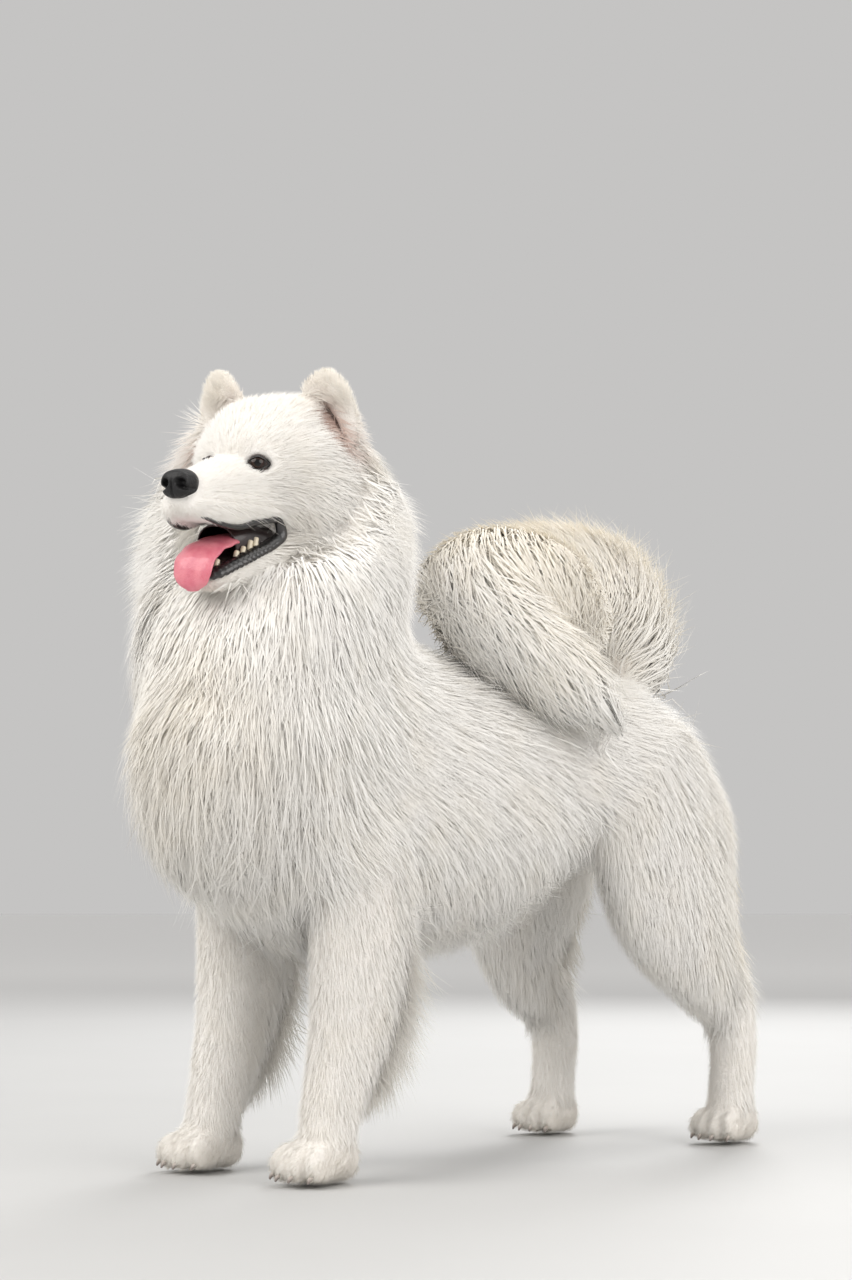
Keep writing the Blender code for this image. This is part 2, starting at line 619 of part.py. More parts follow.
class Lie:
    """How the coat grows on one form: where its locks stand, their size and the way they lie.

    along and around are the ranges of share and of angle that carry locks; step is their spacing along
    and around in metres; size is length, width and thickness; flow gives the way at a place, as a step
    along the path and a step round it, lift is how far the tips rise over the form, here says whether a
    place on the core is to carry a lock, and reach is how far the core may lie from the form's own.
    """

    def __init__(self, rows, coat, along, around, step, size, flow, lift=0.0, last_side=None, here=None,
                 sections=ONE_BEND, reach=0.02):
        self.form = Form(rows, last_side=last_side)
        self.sections, self.reach = sections, reach
        self.here = here or (lambda place: True)
        self.coat, self.along, self.around, self.step = coat, along, around, step
        self.size, self.flow, self.lift = size, flow, lift

    def roots(self, draw):
        """Staggered rows of places, each moved a little by the draw."""
        span = (self.along[1] - self.along[0]) * self.form.length
        rows = max(1, round(span / self.step[0]))
        for row in range(rows):
            share = self.along[0] + (row + 0.5) / rows * (self.along[1] - self.along[0])
            girth = np.linalg.norm([
                np.array(self.form.at(share, a + 0.05)) - self.form.at(share, a)
                for a in np.linspace(*self.around, 12)
            ], axis=1).mean() / 0.05 * (self.around[1] - self.around[0])
            count = max(1, round(girth / self.step[1]))
            for k in range(count):
                part = (k + 0.25 + 0.5 * (row % 2) + draw.uniform(-0.15, 0.15)) / count
                yield (
                    share + draw.uniform(-0.15, 0.15) * self.step[0] / self.form.length,
                    self.around[0] + part * (self.around[1] - self.around[0]),
                )

    def lock(self, share, angle, scale, rise, ground, normal):
        """A flat, tapered lock of three sides: two edges and a ridge, carried through its sections to a tip."""
        length, width, thick = self.size
        length *= scale
        width *= min(1.0, scale + 0.25)
        points = []
        for part, broad, high, depth in self.sections:
            there, turn, forward = self.walk(share, angle, length * part)
            aside = np.array((-forward[1], forward[0])) * 0.5 * width * broad
            inset = depth * self.coat - rise * part
            radius = self.radius(there, turn)
            section = [
                self.form.at(there + way * aside[0] / self.form.length, turn + way * aside[1] / radius, inset + drop)
                for way, drop in ((-1, 0.003), (0, -thick * high), (1, 0.003))
            ]
            if part == 0.0:
                shift = ground - SUNK * normal - sum(section) / 3
                section = [point + shift for point in section]
            points += section
        there, turn, forward = self.walk(share, angle, length)
        points.append(self.form.at(there, turn, -self.lift - rise))
        faces = [(0, 1, 2)]
        last = 3 * len(self.sections) - 3
        for low in range(0, last, 3):
            for a, b in ((0, 1), (1, 2), (2, 0)):
                faces.append((low + a, low + b, low + 3 + b))
                faces.append((low + a, low + 3 + b, low + 3 + a))
        faces += [(last, last + 1, last + 3), (last + 1, last + 2, last + 3), (last + 2, last, last + 3)]
        return points, faces

    def radius(self, share, angle):
        step = np.array(self.form.at(share, angle + 0.05)) - self.form.at(share, angle - 0.05)
        return max(np.linalg.norm(step) / 0.1, 0.02)

    def walk(self, share, angle, length):
        """Follows the flow over the form for a length, in short steps."""
        for _ in range(4):
            forward = np.array(self.flow(share, angle), float)
            forward /= np.linalg.norm(forward)
            share += forward[0] * length / 4 / self.form.length
            angle += forward[1] * length / 4 / self.radius(share, angle)
        return share, angle, forward


def tree(points, faces):
    return BVHTree.FromPolygons([tuple(p) for p in points], faces, epsilon=0.0)


def mesh_tree(mesh):
    return tree([v.co for v in mesh.vertices], [tuple(f.vertices) for f in mesh.polygons])


def within(bvh, point):
    """Whether a point is inside a closed skin: a ray out of it then crosses the skin an odd number of times."""
    way = Vector((0.31, 0.53, 0.79)).normalized()
    start, crossings = Vector(point), 0
    while crossings < 60:
        hit, _, _, _ = bvh.ray_cast(start, way)
        if hit is None:
            break
        crossings += 1
        start = hit + 1e-5 * way
    return crossings % 2 == 1


BARRIERS = {}
SUNK = 0.009
TRIES = ((1.0, 0.0), (1.0, 0.007), (0.85, 0.014), (0.75, 0.0), (0.75, 0.008), (0.55, 0.0), (0.55, 0.010),
         (0.55, 0.022), (0.4, 0.012))


def touching(obj):
    """Places where the skin comes so close to itself that merging near points would open it."""
    shape = bmesh.new()
    shape.from_mesh(obj.data)
    bmesh.ops.triangulate(shape, faces=shape.faces)
    bmesh.ops.remove_doubles(shape, verts=shape.verts, dist=2e-6)
    marks = [edge.verts[0].co.copy() for edge in shape.edges if len(edge.link_faces) != 2]
    shape.free()
    return marks


def grow_coat(obj, lies, seed):
    """Sets the locks of one sub-part on its core, each bent or shortened until it is clear of the rest."""
    draw = random.Random(seed)
    others = [bvh for name, bvh in BARRIERS.items() if name != obj.name]
    own = mesh_tree(obj.data)
    locks, missed = [], 0
    for lie in lies:
        for share, angle in lie.roots(draw):
            scale = draw.uniform(0.88, 1.12)
            ground, normal, _, away = own.find_nearest(Vector(lie.form.at(share, angle, lie.coat)))
            if away > lie.reach or any(within(bvh, ground + 0.004 * normal) for bvh in others):
                continue
            if not lie.here(ground):
                continue
            for shorter, rise in TRIES:
                points, faces = lie.lock(share, angle, scale * shorter, rise, np.array(ground), np.array(normal))
                skin = tree(points, faces)
                if min(p[2] for p in points) > 0.004 and not any(skin.overlap(bvh) for bvh in others):
                    locks.append((points, faces))
                    break
            else:
                missed += 1
    core = obj.data.copy()
    while locks:
        fuse(obj, [new_object("lock", *lock) for lock in locks])
        marks = touching(obj)
        if not marks:
            break
        obj.data = core.copy()
        apart = [min((Vector(p) - marks[0]).length for p in points) for points, _ in locks]
        locks.pop(apart.index(min(apart)))
    print(obj.name, len(locks), "locks", missed, "missed", len(core.polygons), len(obj.data.polygons))
    keep_form(obj, 0.0006)
    BARRIERS[obj.name] = mesh_tree(FORMS[obj.name])
    return obj


def tail_parts():
    """The tail in three lengths, parted by cuts across its path."""
    path = smooth_rows(TAIL, 41)
    whole = loft("tail", TAIL, 9, 16, CREAM_COAT, inset=TAIL_COAT, caps=2)
    lengths = []
    for k, name in enumerate(("tail_root", "tail_curl", "tail_tip")):
        piece = whole.copy()
        piece.data = whole.data.copy()
        piece.name = name
        bpy.context.scene.collection.objects.link(piece)
        for share, sign in ((TAIL_CUTS[k - 1], 1), (TAIL_CUTS[min(k, 1)], -1)):
            if (k == 0 and sign > 0) or (k == 2 and sign < 0):
                continue
            at = int(share * 40)
            spot = Vector(path[at, :3])
            along = Vector(path[at + 1, :3] - path[at - 1, :3]).normalized()
            shape = bmesh.new()
            shape.from_mesh(piece.data)
            cut = bmesh.ops.bisect_plane(
                shape, geom=[*shape.verts, *shape.edges, *shape.faces], dist=1e-6,
                plane_co=spot + sign * along * GAP / 2, plane_no=-sign * along, clear_outer=True,
            )
            bmesh.ops.holes_fill(shape, edges=[e for e in cut["geom_cut"] if isinstance(e, bmesh.types.BMEdge)])
            shape.to_mesh(piece.data)
            shape.free()
        keep_largest(piece)
        lengths.append(piece)
    remove(whole)
    for piece in lengths:
        clear_of(piece, "torso", "neck")
    return lengths


def centre_model():
    """Moves the whole model so that its box is centred over the origin."""
    objects = [obj for obj in bpy.context.scene.objects if obj.type == "MESH"]
    corners = [obj.matrix_world @ v.co for obj in objects for v in obj.data.vertices]
    middle = [(min(c[k] for c in corners) + max(c[k] for c in corners)) / 2 for k in range(2)]
    for obj in objects:
        obj.data.transform(Matrix.Translation((-middle[0], -middle[1], 0)))
    return -middle[0], -middle[1], 0.0


def torso_flow(share, angle):
    """Back over the loin, down over the flank, and more steeply down on the breast."""
    fall = 0.75 + 1.6 * max(0.0, 0.3 - share) / 0.3
    return 1.0, -fall * math.cos(angle)


def breast_flow(share, angle):
    """Down, drawn back a little on the sides."""
    return 1.0, 0.35 * math.cos(angle)


def ruff_flow(share, angle):
    """Down from the head, drawn back a little on the sides."""
    return -1.0, -0.45 * math.cos(angle)


def leg_flow(share, angle):
    """Down the limb and towards its rear edge."""
    return 1.0, 0.45 * math.cos(angle)


def tail_flow(share, angle):
    return 1.0, -0.15 * math.cos(angle)


def degrees(*angles):
    return tuple(math.radians(angle) for angle in angles)


def build():
    clear_scene()
    torso = loft("torso", TORSO, 15, 9, WHITE_COAT, inset=TORSO_COAT, caps=2)
    keep_form(torso)
    pieces = head_parts()
    facing = (math.cos(HEAD_YAW), math.sin(HEAD_YAW), 0)
    neck = loft("neck", NECK, 14, 8, WHITE_COAT, last_side=facing, inset=NECK_COAT, caps=2)
    keep_form(neck)
    clear_of(neck, "torso", *HEAD_FORMS)
    tails = tail_parts()
    coated = []
    for side, sign in (("left", 1), ("right", -1)):
        foreleg = loft(f"foreleg_{side}", foreleg_core(sign), 10, 7, WHITE_COAT, caps=2)
        thigh = loft(f"thigh_{side}", thigh_rows(sign), 10, 7, WHITE_COAT, inset=THIGH_COAT, caps=2)
        shank = loft(f"shank_{side}", shank_rows(sign), 8, 4, WHITE_COAT, caps=2)
        front = paw(f"forepaw_{side}", sign * FORELEG_X, sign * FORE_STAGGER, FOREPAW_SCALE)
        back = paw(f"hindpaw_{side}", sign * HIND_X, HIND_Y + sign * HIND_STAGGER, HINDPAW_SCALE)
        for piece in (thigh, front, back, foreleg, shank):
            keep_form(piece)
        clear_of(foreleg, "torso", front.name)
        clear_of(thigh, "torso")
        clear_of(shank, thigh.name, back.name)
        pieces += [front, back, shank]
        coated += [foreleg, thigh]
    for piece in [*pieces, torso, neck, *tails, *coated]:
        if piece.name not in FORMS:
            keep_form(piece)
        BARRIERS[piece.name] = mesh_tree(FORMS[piece.name])
    grow_coat(torso, [
        Lie(TORSO, TORSO_COAT, (0.08, 0.97), degrees(-85, 265), (0.092, 0.078), (0.165, 0.096, 0.010),
            torso_flow, here=lambda p: p.y > 0.01 + 0.6 * (p.z - 0.40)),
        Lie(BREAST, TORSO_COAT, (0.06, 0.90), degrees(-175, -5), (0.078, 0.066), (0.135, 0.084, 0.010),
            breast_flow, here=lambda p: p.z < 0.47 and p.y < 0.01 + 0.6 * (p.z - 0.40), sections=TWO_BENDS),
        Lie(RUMP, TORSO_COAT, (0.10, 0.95), degrees(15, 165), (0.080, 0.064), (0.140, 0.080, 0.010), breast_flow,
            reach=0.045),
    ], 3)
    for k, (side, sign) in enumerate((("left", 1), ("right", -1))):
        thigh, foreleg = coated[2 * k + 1], coated[2 * k]
        outer = degrees(-60, 130) if sign > 0 else degrees(50, 240)
        grow_coat(thigh, [Lie(thigh_rows(sign), THIGH_COAT, (0.10, 0.80), outer, (0.080, 0.064),
                              (0.135, 0.080, 0.009), leg_flow)], 11 + k)
        grow_coat(foreleg, [Lie(foreleg_rows(sign), 0.030, (0.18, 0.86), degrees(40, 140), (0.060, 0.045),
                                (0.105, 0.050, 0.008), leg_flow)], 21 + k)
    grow_coat(neck, [Lie(RUFF, NECK_COAT, (0.40, 0.98), degrees(-90, 270), (0.078, 0.070),
                         (0.165, 0.086, 0.011), ruff_flow, last_side=facing, sections=TWO_BENDS, reach=0.045)], 5)
    for k, piece in enumerate(tails):
        low, high = (0.0, *TAIL_CUTS, 0.93)[k], (0.0, *TAIL_CUTS, 0.93)[k + 1]
        grow_coat(piece, [Lie(TAIL, TAIL_COAT, (low, high), degrees(-90, 270), (0.088, 0.070),
                              (0.155, 0.074, 0.010), tail_flow, 0.010)], 31 + k)
    return centre_model()


PLACED = build()
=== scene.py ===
# %% [markdown]
# A samoyed, life size, standing with its head up, its mouth open and its tail curled over its back.
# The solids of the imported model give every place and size. This scene dresses them: one skin is worked
# out from named stations, hundreds of thousands of tapered tufts are grown on it along the lie of the
# coat, and the eyes, lids, nose, lips, tongue, teeth, whiskers and claws are pieces of their own.

import math

import bmesh
import bpy
import numpy as np
from mathutils import Matrix, Vector
from mathutils.bvhtree import BVHTree
from mathutils.kdtree import KDTree


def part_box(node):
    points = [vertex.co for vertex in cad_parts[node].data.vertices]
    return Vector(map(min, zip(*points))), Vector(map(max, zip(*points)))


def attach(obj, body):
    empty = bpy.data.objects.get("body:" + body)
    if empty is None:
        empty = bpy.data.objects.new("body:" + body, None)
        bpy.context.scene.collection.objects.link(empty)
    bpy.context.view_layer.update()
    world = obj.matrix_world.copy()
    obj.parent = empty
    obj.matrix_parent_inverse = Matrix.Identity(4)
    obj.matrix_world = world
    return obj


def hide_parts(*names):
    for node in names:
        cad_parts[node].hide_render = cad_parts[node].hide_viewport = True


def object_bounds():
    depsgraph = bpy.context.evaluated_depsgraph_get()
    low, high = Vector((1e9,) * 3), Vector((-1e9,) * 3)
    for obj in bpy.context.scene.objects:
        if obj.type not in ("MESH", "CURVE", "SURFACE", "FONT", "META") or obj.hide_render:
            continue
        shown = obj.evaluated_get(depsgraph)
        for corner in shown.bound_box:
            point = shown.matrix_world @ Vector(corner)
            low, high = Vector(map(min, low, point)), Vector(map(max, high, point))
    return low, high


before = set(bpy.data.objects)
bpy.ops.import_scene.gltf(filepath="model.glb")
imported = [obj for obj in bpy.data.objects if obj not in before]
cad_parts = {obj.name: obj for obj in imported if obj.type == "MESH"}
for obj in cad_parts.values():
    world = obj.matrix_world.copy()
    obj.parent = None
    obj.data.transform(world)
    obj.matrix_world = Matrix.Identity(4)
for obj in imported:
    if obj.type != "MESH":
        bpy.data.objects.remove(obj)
CAD_BOX = [list(corner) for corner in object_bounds()]
print("packed model", np.round(CAD_BOX, 4).tolist())

# %% [markdown]
# The stations of every form are given in the dog's own frame: it faces -Y, its left is +X, and the origin
# is on the floor midway between the forepaws. A row is x, y, z, half width, half height above the path,
# half height below it, and squareness. Where it ends early, the last size counts for the others too and
# the squareness is 2, an ellipse. The cheek, the tail's dome, the flews and the lower lips are in the
# scene alone, and the ears are shaped further here. The other rows are also those of the solids.

# %% Stations of the body
TORSO = (
    (0, -0.080, 0.410, 0.104, 0.115, 0.125),
    (0, -0.035, 0.420, 0.138, 0.145, 0.172, 2.1),
    (0, 0.050, 0.430, 0.152, 0.155, 0.187, 2.2),
    (0, 0.150, 0.430, 0.154, 0.150, 0.196, 2.2),
    (0, 0.250, 0.435, 0.148, 0.142, 0.190, 2.2),
    (0, 0.350, 0.450, 0.140, 0.128, 0.168, 2.2),
    (0, 0.450, 0.460, 0.140, 0.115, 0.140, 2.2),
    (0, 0.530, 0.455, 0.126, 0.108, 0.125, 2.1),
    (0, 0.570, 0.450, 0.098, 0.085, 0.100),
)
NECK = (
    (0, 0.030, 0.450, 0.128, 0.120, 0.130),
    (-0.008, 0.020, 0.520, 0.152, 0.152, 0.155),
    (-0.015, 0.012, 0.595, 0.162, 0.120, 0.145, 2.1),
    (-0.016, 0.024, 0.650, 0.166, 0.062, 0.118, 2.1),
    (-0.014, 0.032, 0.705, 0.158, 0.046, 0.098, 2.1),
    (-0.008, 0.040, 0.765, 0.134, 0.040, 0.078, 2.1),
    (0, 0.046, 0.800, 0.096, 0.030, 0.046),
)
TAIL = (
    (0.000, 0.560, 0.520, 0.050),
    (0.004, 0.560, 0.580, 0.058, 0.060, 0.065),
    (0.012, 0.515, 0.635, 0.066, 0.065, 0.075),
    (0.022, 0.430, 0.655, 0.070, 0.066, 0.078),
    (0.045, 0.325, 0.642, 0.074, 0.070, 0.082),
    (0.080, 0.255, 0.605, 0.070, 0.070, 0.076),
    (0.122, 0.275, 0.570, 0.052, 0.055, 0.058),
    (0.150, 0.320, 0.528, 0.042, 0.045, 0.047),
    (0.169, 0.354, 0.499, 0.020, 0.024),
)
CHEEK_RUFF = (
    (-0.092, -0.008, 0.812, 0.012, 0.014),
    (-0.108, 0.000, 0.780, 0.020, 0.024),
    (-0.120, 0.008, 0.735, 0.024, 0.030),
    (-0.124, 0.008, 0.690, 0.026, 0.034),
    (-0.118, 0.004, 0.640, 0.026, 0.034),
    (-0.100, 0.004, 0.585, 0.018, 0.022),
)
TAIL_DOME = (
    (0.058, 0.205, 0.632, 0.026, 0.030),
    (0.070, 0.260, 0.652, 0.040, 0.046, 0.050),
    (0.074, 0.320, 0.650, 0.046, 0.048, 0.058),
    (0.068, 0.380, 0.628, 0.040, 0.042, 0.050),
    (0.060, 0.425, 0.605, 0.024, 0.026, 0.030),
)

# %% Stations of the legs
# A toe is its place across the foot and how far it reaches forward.
HIND_Y = 0.588
TOES = ((-1.5, 0.036), (-0.5, 0.045), (0.5, 0.045), (1.5, 0.036))


def feet(sign):
    """The forefoot and the hind foot of one side: x, y and size."""
    return (sign * 0.088, sign * 0.006, 1.0), (sign * 0.112, HIND_Y + sign * 0.038, 0.9)


def foreleg_rows(sign):
    """The foreleg without the fringe behind it."""
    x, y, _ = feet(sign)[0]
    return (
        (x, y + 0.055, 0.37, 0.044, 0.051, 0.068),
        (x, y + 0.050, 0.29, 0.044, 0.056, 0.062),
        (x, y + 0.040, 0.21, 0.042, 0.056, 0.050),
        (x, y + 0.028, 0.14, 0.037, 0.044, 0.040),
        (x, y + 0.014, 0.08, 0.034, 0.030, 0.035),
        (x, y + 0.004, 0.036, 0.032, 0.030, 0.032),
    )


def thigh_rows(sign):
    x, y, _ = feet(sign)[1]
    lean = y - HIND_Y
    return (
        (0.76 * x, 0.485, 0.470, 0.058, 0.100, 0.110),
        (0.88 * x, 0.503 + 0.2 * lean, 0.380, 0.064, 0.128, 0.118),
        (0.96 * x, 0.515 + 0.5 * lean, 0.290, 0.058, 0.110, 0.112),
        (x, y - 0.040, 0.205, 0.042, 0.062, 0.070),
        (x, y + 0.002, 0.150, 0.033, 0.034, 0.038),
    )


def shank_rows(sign):
    x, y, _ = feet(sign)[1]
    return (
        (x, y + 0.000, 0.195, 0.024, 0.027, 0.034),
        (x, y + 0.006, 0.160, 0.026, 0.029, 0.031),
        (x, y + 0.008, 0.130, 0.028, 0.031),
        (x, y + 0.005, 0.080, 0.027, 0.029),
        (x, y + 0.000, 0.034, 0.028, 0.029),
    )


# %% Stations of the head, in its own frame with the nose towards -Y
HEAD_AT = Vector((0.002, 0.003, 0.768))
HEAD_YAW, HEAD_PITCH, HEAD_ROLL = math.radians(16.6), math.radians(4.3), math.radians(4.4)
HEAD_TURN = (
    Matrix.Translation(HEAD_AT)
    @ Matrix.Rotation(HEAD_YAW, 4, "Z")
    @ Matrix.Rotation(HEAD_PITCH, 4, "X")
    @ Matrix.Rotation(HEAD_ROLL, 4, "Y")
)
SKULL = (
    (0, 0.060, -0.020, 0.070, 0.060, 0.075),
    (0, 0.020, -0.020, 0.092, 0.080, 0.088, 2.7),
    (0, -0.020, -0.025, 0.086, 0.082, 0.076, 2.8),
    (0, -0.040, -0.030, 0.072, 0.084, 0.064, 2.1),
    (0, -0.060, -0.040, 0.052, 0.058, 0.046, 2.1),
    (0, -0.075, -0.045, 0.046, 0.040, 0.040, 2.1),
    (0, -0.090, -0.046, 0.040, 0.033, 0.039, 2.2),
    (0, -0.120, -0.053, 0.035, 0.030, 0.034, 2.3),
    (0, -0.145, -0.057, 0.031, 0.028, 0.030, 2.3),
    (0, -0.160, -0.063, 0.025, 0.021, 0.023, 2.2),
)
JAW = (
    (0, 0.010, -0.100, 0.066, 0.045, 0.048),
    (0, -0.035, -0.112, 0.054, 0.030, 0.040),
    (0, -0.072, -0.130, 0.039, 0.011, 0.027, 2.1),
    (0, -0.105, -0.136, 0.030, 0.007, 0.020, 2.2),
    (0, -0.128, -0.143, 0.020, 0.006, 0.011, 2.2),
)
EAR = (
    (0.070, 0.006, 0.010, 0.038, 0.020),
    (0.074, 0.005, 0.043, 0.038, 0.016),
    (0.077, 0.003, 0.066, 0.030, 0.011),
    (0.079, 0.001, 0.080, 0.019, 0.008),
    (0.080, 0.000, 0.086, 0.010, 0.006),
)
EAR_WIDTH_LIES = (0.97, 0.25)

# %% Stations of the mouth, the nose and the eyes
LIPS = (
    (0.000, -0.160, -0.0740, 0.0020),
    (0.020, -0.156, -0.0775, 0.0020),
    (0.030, -0.138, -0.0835, 0.0026),
    (0.0345, -0.111, -0.0860, 0.0030),
    (0.040, -0.074, -0.0775, 0.0036, 0.0034),
    (0.0445, -0.050, -0.0770, 0.0048, 0.0036),
    (0.0455, -0.046, -0.0890, 0.0066, 0.0040),
    (0.0430, -0.059, -0.1000, 0.0072, 0.0040),
    (0.0380, -0.079, -0.1095, 0.0080, 0.0042),
    (0.0305, -0.108, -0.1235, 0.0078, 0.0042),
    (0.0180, -0.128, -0.1345, 0.0082, 0.0044),
    (0.000, -0.134, -0.1370, 0.0060, 0.0044),
)
FLEWS = (
    (0.012, -0.163, -0.067, 0.010, 0.013, 0.0110),
    (0.024, -0.144, -0.069, 0.009, 0.016, 0.0135),
    (0.0275, -0.112, -0.069, 0.009, 0.018, 0.0165),
    (0.033, -0.076, -0.062, 0.010, 0.018, 0.0145),
    (0.038, -0.048, -0.060, 0.010, 0.016, 0.0140),
)
LOWER_LIPS = (
    (0.040, -0.044, -0.108, 0.010, 0.016, 0.014),
    (0.036, -0.066, -0.118, 0.009, 0.014),
    (0.030, -0.090, -0.129, 0.009, 0.012),
    (0.021, -0.114, -0.140, 0.009, 0.010),
    (0.006, -0.126, -0.145, 0.010, 0.008, 0.009),
)
TONGUE = (
    (0.000, -0.042, -0.092, 0.021, 0.006),
    (0.001, -0.078, -0.096, 0.024, 0.006, 0.006, 2.2),
    (0.002, -0.108, -0.102, 0.025, 0.0055, 0.0055, 2.2),
    (0.002, -0.130, -0.112, 0.0255, 0.005, 0.005, 2.2),
    (0.002, -0.1420, -0.127, 0.0245, 0.005, 0.005, 2.2),
    (0.003, -0.1440, -0.140, 0.0220, 0.0045, 0.0045, 2.2),
    (0.003, -0.1435, -0.149, 0.0150, 0.004, 0.004, 2.2),
    (0.003, -0.1425, -0.1525, 0.0080, 0.003, 0.003, 2.2),
)
NOSE = (
    (0, -0.150, -0.045, 0.014, 0.014, 0.012, 2.2),
    (0, -0.164, -0.045, 0.020, 0.017, 0.016, 2.4),
    (0, -0.173, -0.046, 0.018, 0.015, 0.015, 2.4),
)
EYE = Vector((0.0295, -0.0705, -0.0165))
EYE_RADIUS = 0.0105
EYE_AIM = Vector((0.56, -0.83, 0.02)).normalized()
LID_LONG, LID_HIGH = 0.0135, 0.0088

# %% Where the dog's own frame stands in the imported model
eyes_now = np.mean([np.array(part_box(f"eye_{side}")).mean(axis=0) for side in ("left", "right")], axis=0)
eyes_own = np.array(HEAD_TURN @ Vector((0, EYE.y, EYE.z)))
PLACED = Vector((*(eyes_now - eyes_own)[:2], 0.0))
print("moved by", np.round(PLACED, 5), "height differs by", round(float((eyes_now - eyes_own)[2]), 5))

# %% [markdown]
# A form is a rounded section carried along a smooth path. A place on it is a share of the path and an
# angle round it, so a skin is a grid of shares and angles, worked out as one array.

# %% Forms along a path


def whole(row):
    """A row with all its seven numbers: the last size repeats, and the squareness is 2."""
    row = [*row, *[row[-1]] * (6 - len(row))]
    return row if len(row) == 7 else [*row, 2.0]


def smooth_rows(rows, count):
    """Rows at even steps of a Catmull-Rom curve: each piece is a cubic whose slopes are the rows' own."""
    rows = np.array([whole(row) for row in rows], float)
    steps = np.linalg.norm(np.diff(rows[:, :3], axis=0), axis=1)
    along = np.concatenate([[0.0], np.cumsum(np.maximum(steps, 1e-6))])
    slopes = np.gradient(rows, along, axis=0)
    wanted = np.linspace(0.0, along[-1], count)
    index = np.clip(np.searchsorted(along, wanted, side="right") - 1, 0, len(along) - 2)
    width = (along[index + 1] - along[index])[:, None]
    t = (wanted - along[index])[:, None] / width
    start, end = rows[index], rows[index + 1]
    return (
        start * (1 + 2 * t) * (1 - t) ** 2
        + end * t * t * (3 - 2 * t)
        + slopes[index] * width * t * (1 - t) ** 2
        - slopes[index + 1] * width * t * t * (1 - t)
    )


def unit(vectors):
    return vectors / np.maximum(np.linalg.norm(vectors, axis=-1, keepdims=True), 1e-9)


def ramp(value, start, width):
    """0 up to start and 1 from start + width on, even between; a width below 0 makes it run backwards."""
    return np.clip((value - start) / width, 0, 1)


def full_turn(sides):
    return np.linspace(0.0, 2 * math.pi, sides, endpoint=False)[None, :]


STATIONS, LEAST_SIZE = 121, 0.003


class Form:
    """Sections carried along a path, their width along side, which may turn to last_side on the way."""

    def __init__(self, rows, side=(1.0, 0.0, 0.0), last_side=None):
        rows = smooth_rows(rows, STATIONS)
        self.centre, self.size, self.power = rows[:, :3], rows[:, 3:6], rows[:, 6:7]
        self.tangent = unit(np.gradient(self.centre, axis=0))
        turn = np.linspace(0.0, 1.0, len(rows))[:, None]
        across = (1 - turn) * np.array(side, float) + turn * np.array(last_side or side, float)
        self.across = unit(across - (self.tangent * across).sum(axis=1)[:, None] * self.tangent)
        self.upward = np.cross(self.across, self.tangent)
        self.shares = turn[:, 0]

    def read(self, table, share):
        return np.stack([np.interp(share, self.shares, column) for column in table.T], axis=-1)

    def at(self, share, angle, inset=0.0):
        """centre + width * sign(cos)|cos|^(2/power) * across + height * the same of sin * upward."""
        share, angle = np.broadcast_arrays(share, angle)
        size = np.maximum(self.read(self.size, share) - inset, LEAST_SIZE)
        power = 2.0 / self.read(self.power, share)[..., 0]
        cos, sin = np.cos(angle), np.sin(angle)
        flat = np.sign(cos) * np.abs(cos) ** power * size[..., 0]
        high = np.sign(sin) * np.abs(sin) ** power * np.where(sin > 0, size[..., 1], size[..., 2])
        return (
            self.read(self.centre, share)
            + flat[..., None] * self.read(self.across, share)
            + high[..., None] * self.read(self.upward, share)
        )

    def grid(self, rings, sides, inset, caps):
        """Rings along the form, and domes whose rings shrink by cosine and move out by sine."""
        body = self.at(np.linspace(0, 1, rings)[:, None], full_turn(sides), inset)
        turns = np.linspace(0, math.pi / 2, caps + 1)[1:]
        domes = []
        for end, way in ((0, -1), (-1, 1)):
            middle = self.centre[end]
            reach = 0.6 * max(self.size[end].min() - inset, LEAST_SIZE) * way
            out = np.sin(turns)[:, None, None] * reach * self.tangent[end]
            domes.append(middle + out + np.cos(turns)[:, None, None] * (body[end] - middle))
        return np.concatenate([domes[0][::-1], body, domes[1]])


# %% Meshes from grids


def grid_faces(rings, sides, closed=False):
    """Quads between neighbours in a grid whose rows close on themselves, and whose columns may."""
    ring = np.arange(rings if closed else rings - 1)[:, None]
    k = np.arange(sides)[None, :]
    after, above = (k + 1) % sides, (ring + 1) % rings
    low, high = ring * sides, above * sides
    return np.stack([low + k, low + after, high + after, high + k], axis=-1)


def new_mesh(name, points, faces):
    """A mesh object of these points and faces."""
    mesh = bpy.data.meshes.new(name)
    mesh.from_pydata(np.asarray(points, float).reshape(-1, 3).tolist(), [], np.asarray(faces).tolist())
    obj = bpy.data.objects.new(name, mesh)
    bpy.context.scene.collection.objects.link(obj)
    return obj


def tidy(obj):
    """Merges doubles, as at a pole, and turns the faces outwards."""
    shape = bmesh.new()
    shape.from_mesh(obj.data)
    bmesh.ops.remove_doubles(shape, verts=shape.verts, dist=1e-6)
    bmesh.ops.dissolve_degenerate(shape, edges=shape.edges, dist=1e-7)
    bmesh.ops.recalc_face_normals(shape, faces=shape.faces)
    shape.to_mesh(obj.data)
    shape.free()
    obj.data.shade_smooth()
    return obj


def surface(name, grid, closed=False):
    """A smooth closed object from a grid of points."""
    faces = grid_faces(grid.shape[0], grid.shape[1], closed).reshape(-1, 4)
    return tidy(new_mesh(name, grid, faces))


def head_frame(obj):
    obj.data.transform(HEAD_TURN)
    return obj


# %% [markdown]
# Finishes are written as expressions. A Number wraps a socket, and sums on it add Math nodes, so a mask
# reads as it would on paper. Colours are mixed with Mix nodes, because a Math node would turn them grey.

# %% Expressions that build materials


def plain(value):
    return value.socket if isinstance(value, Number) else value


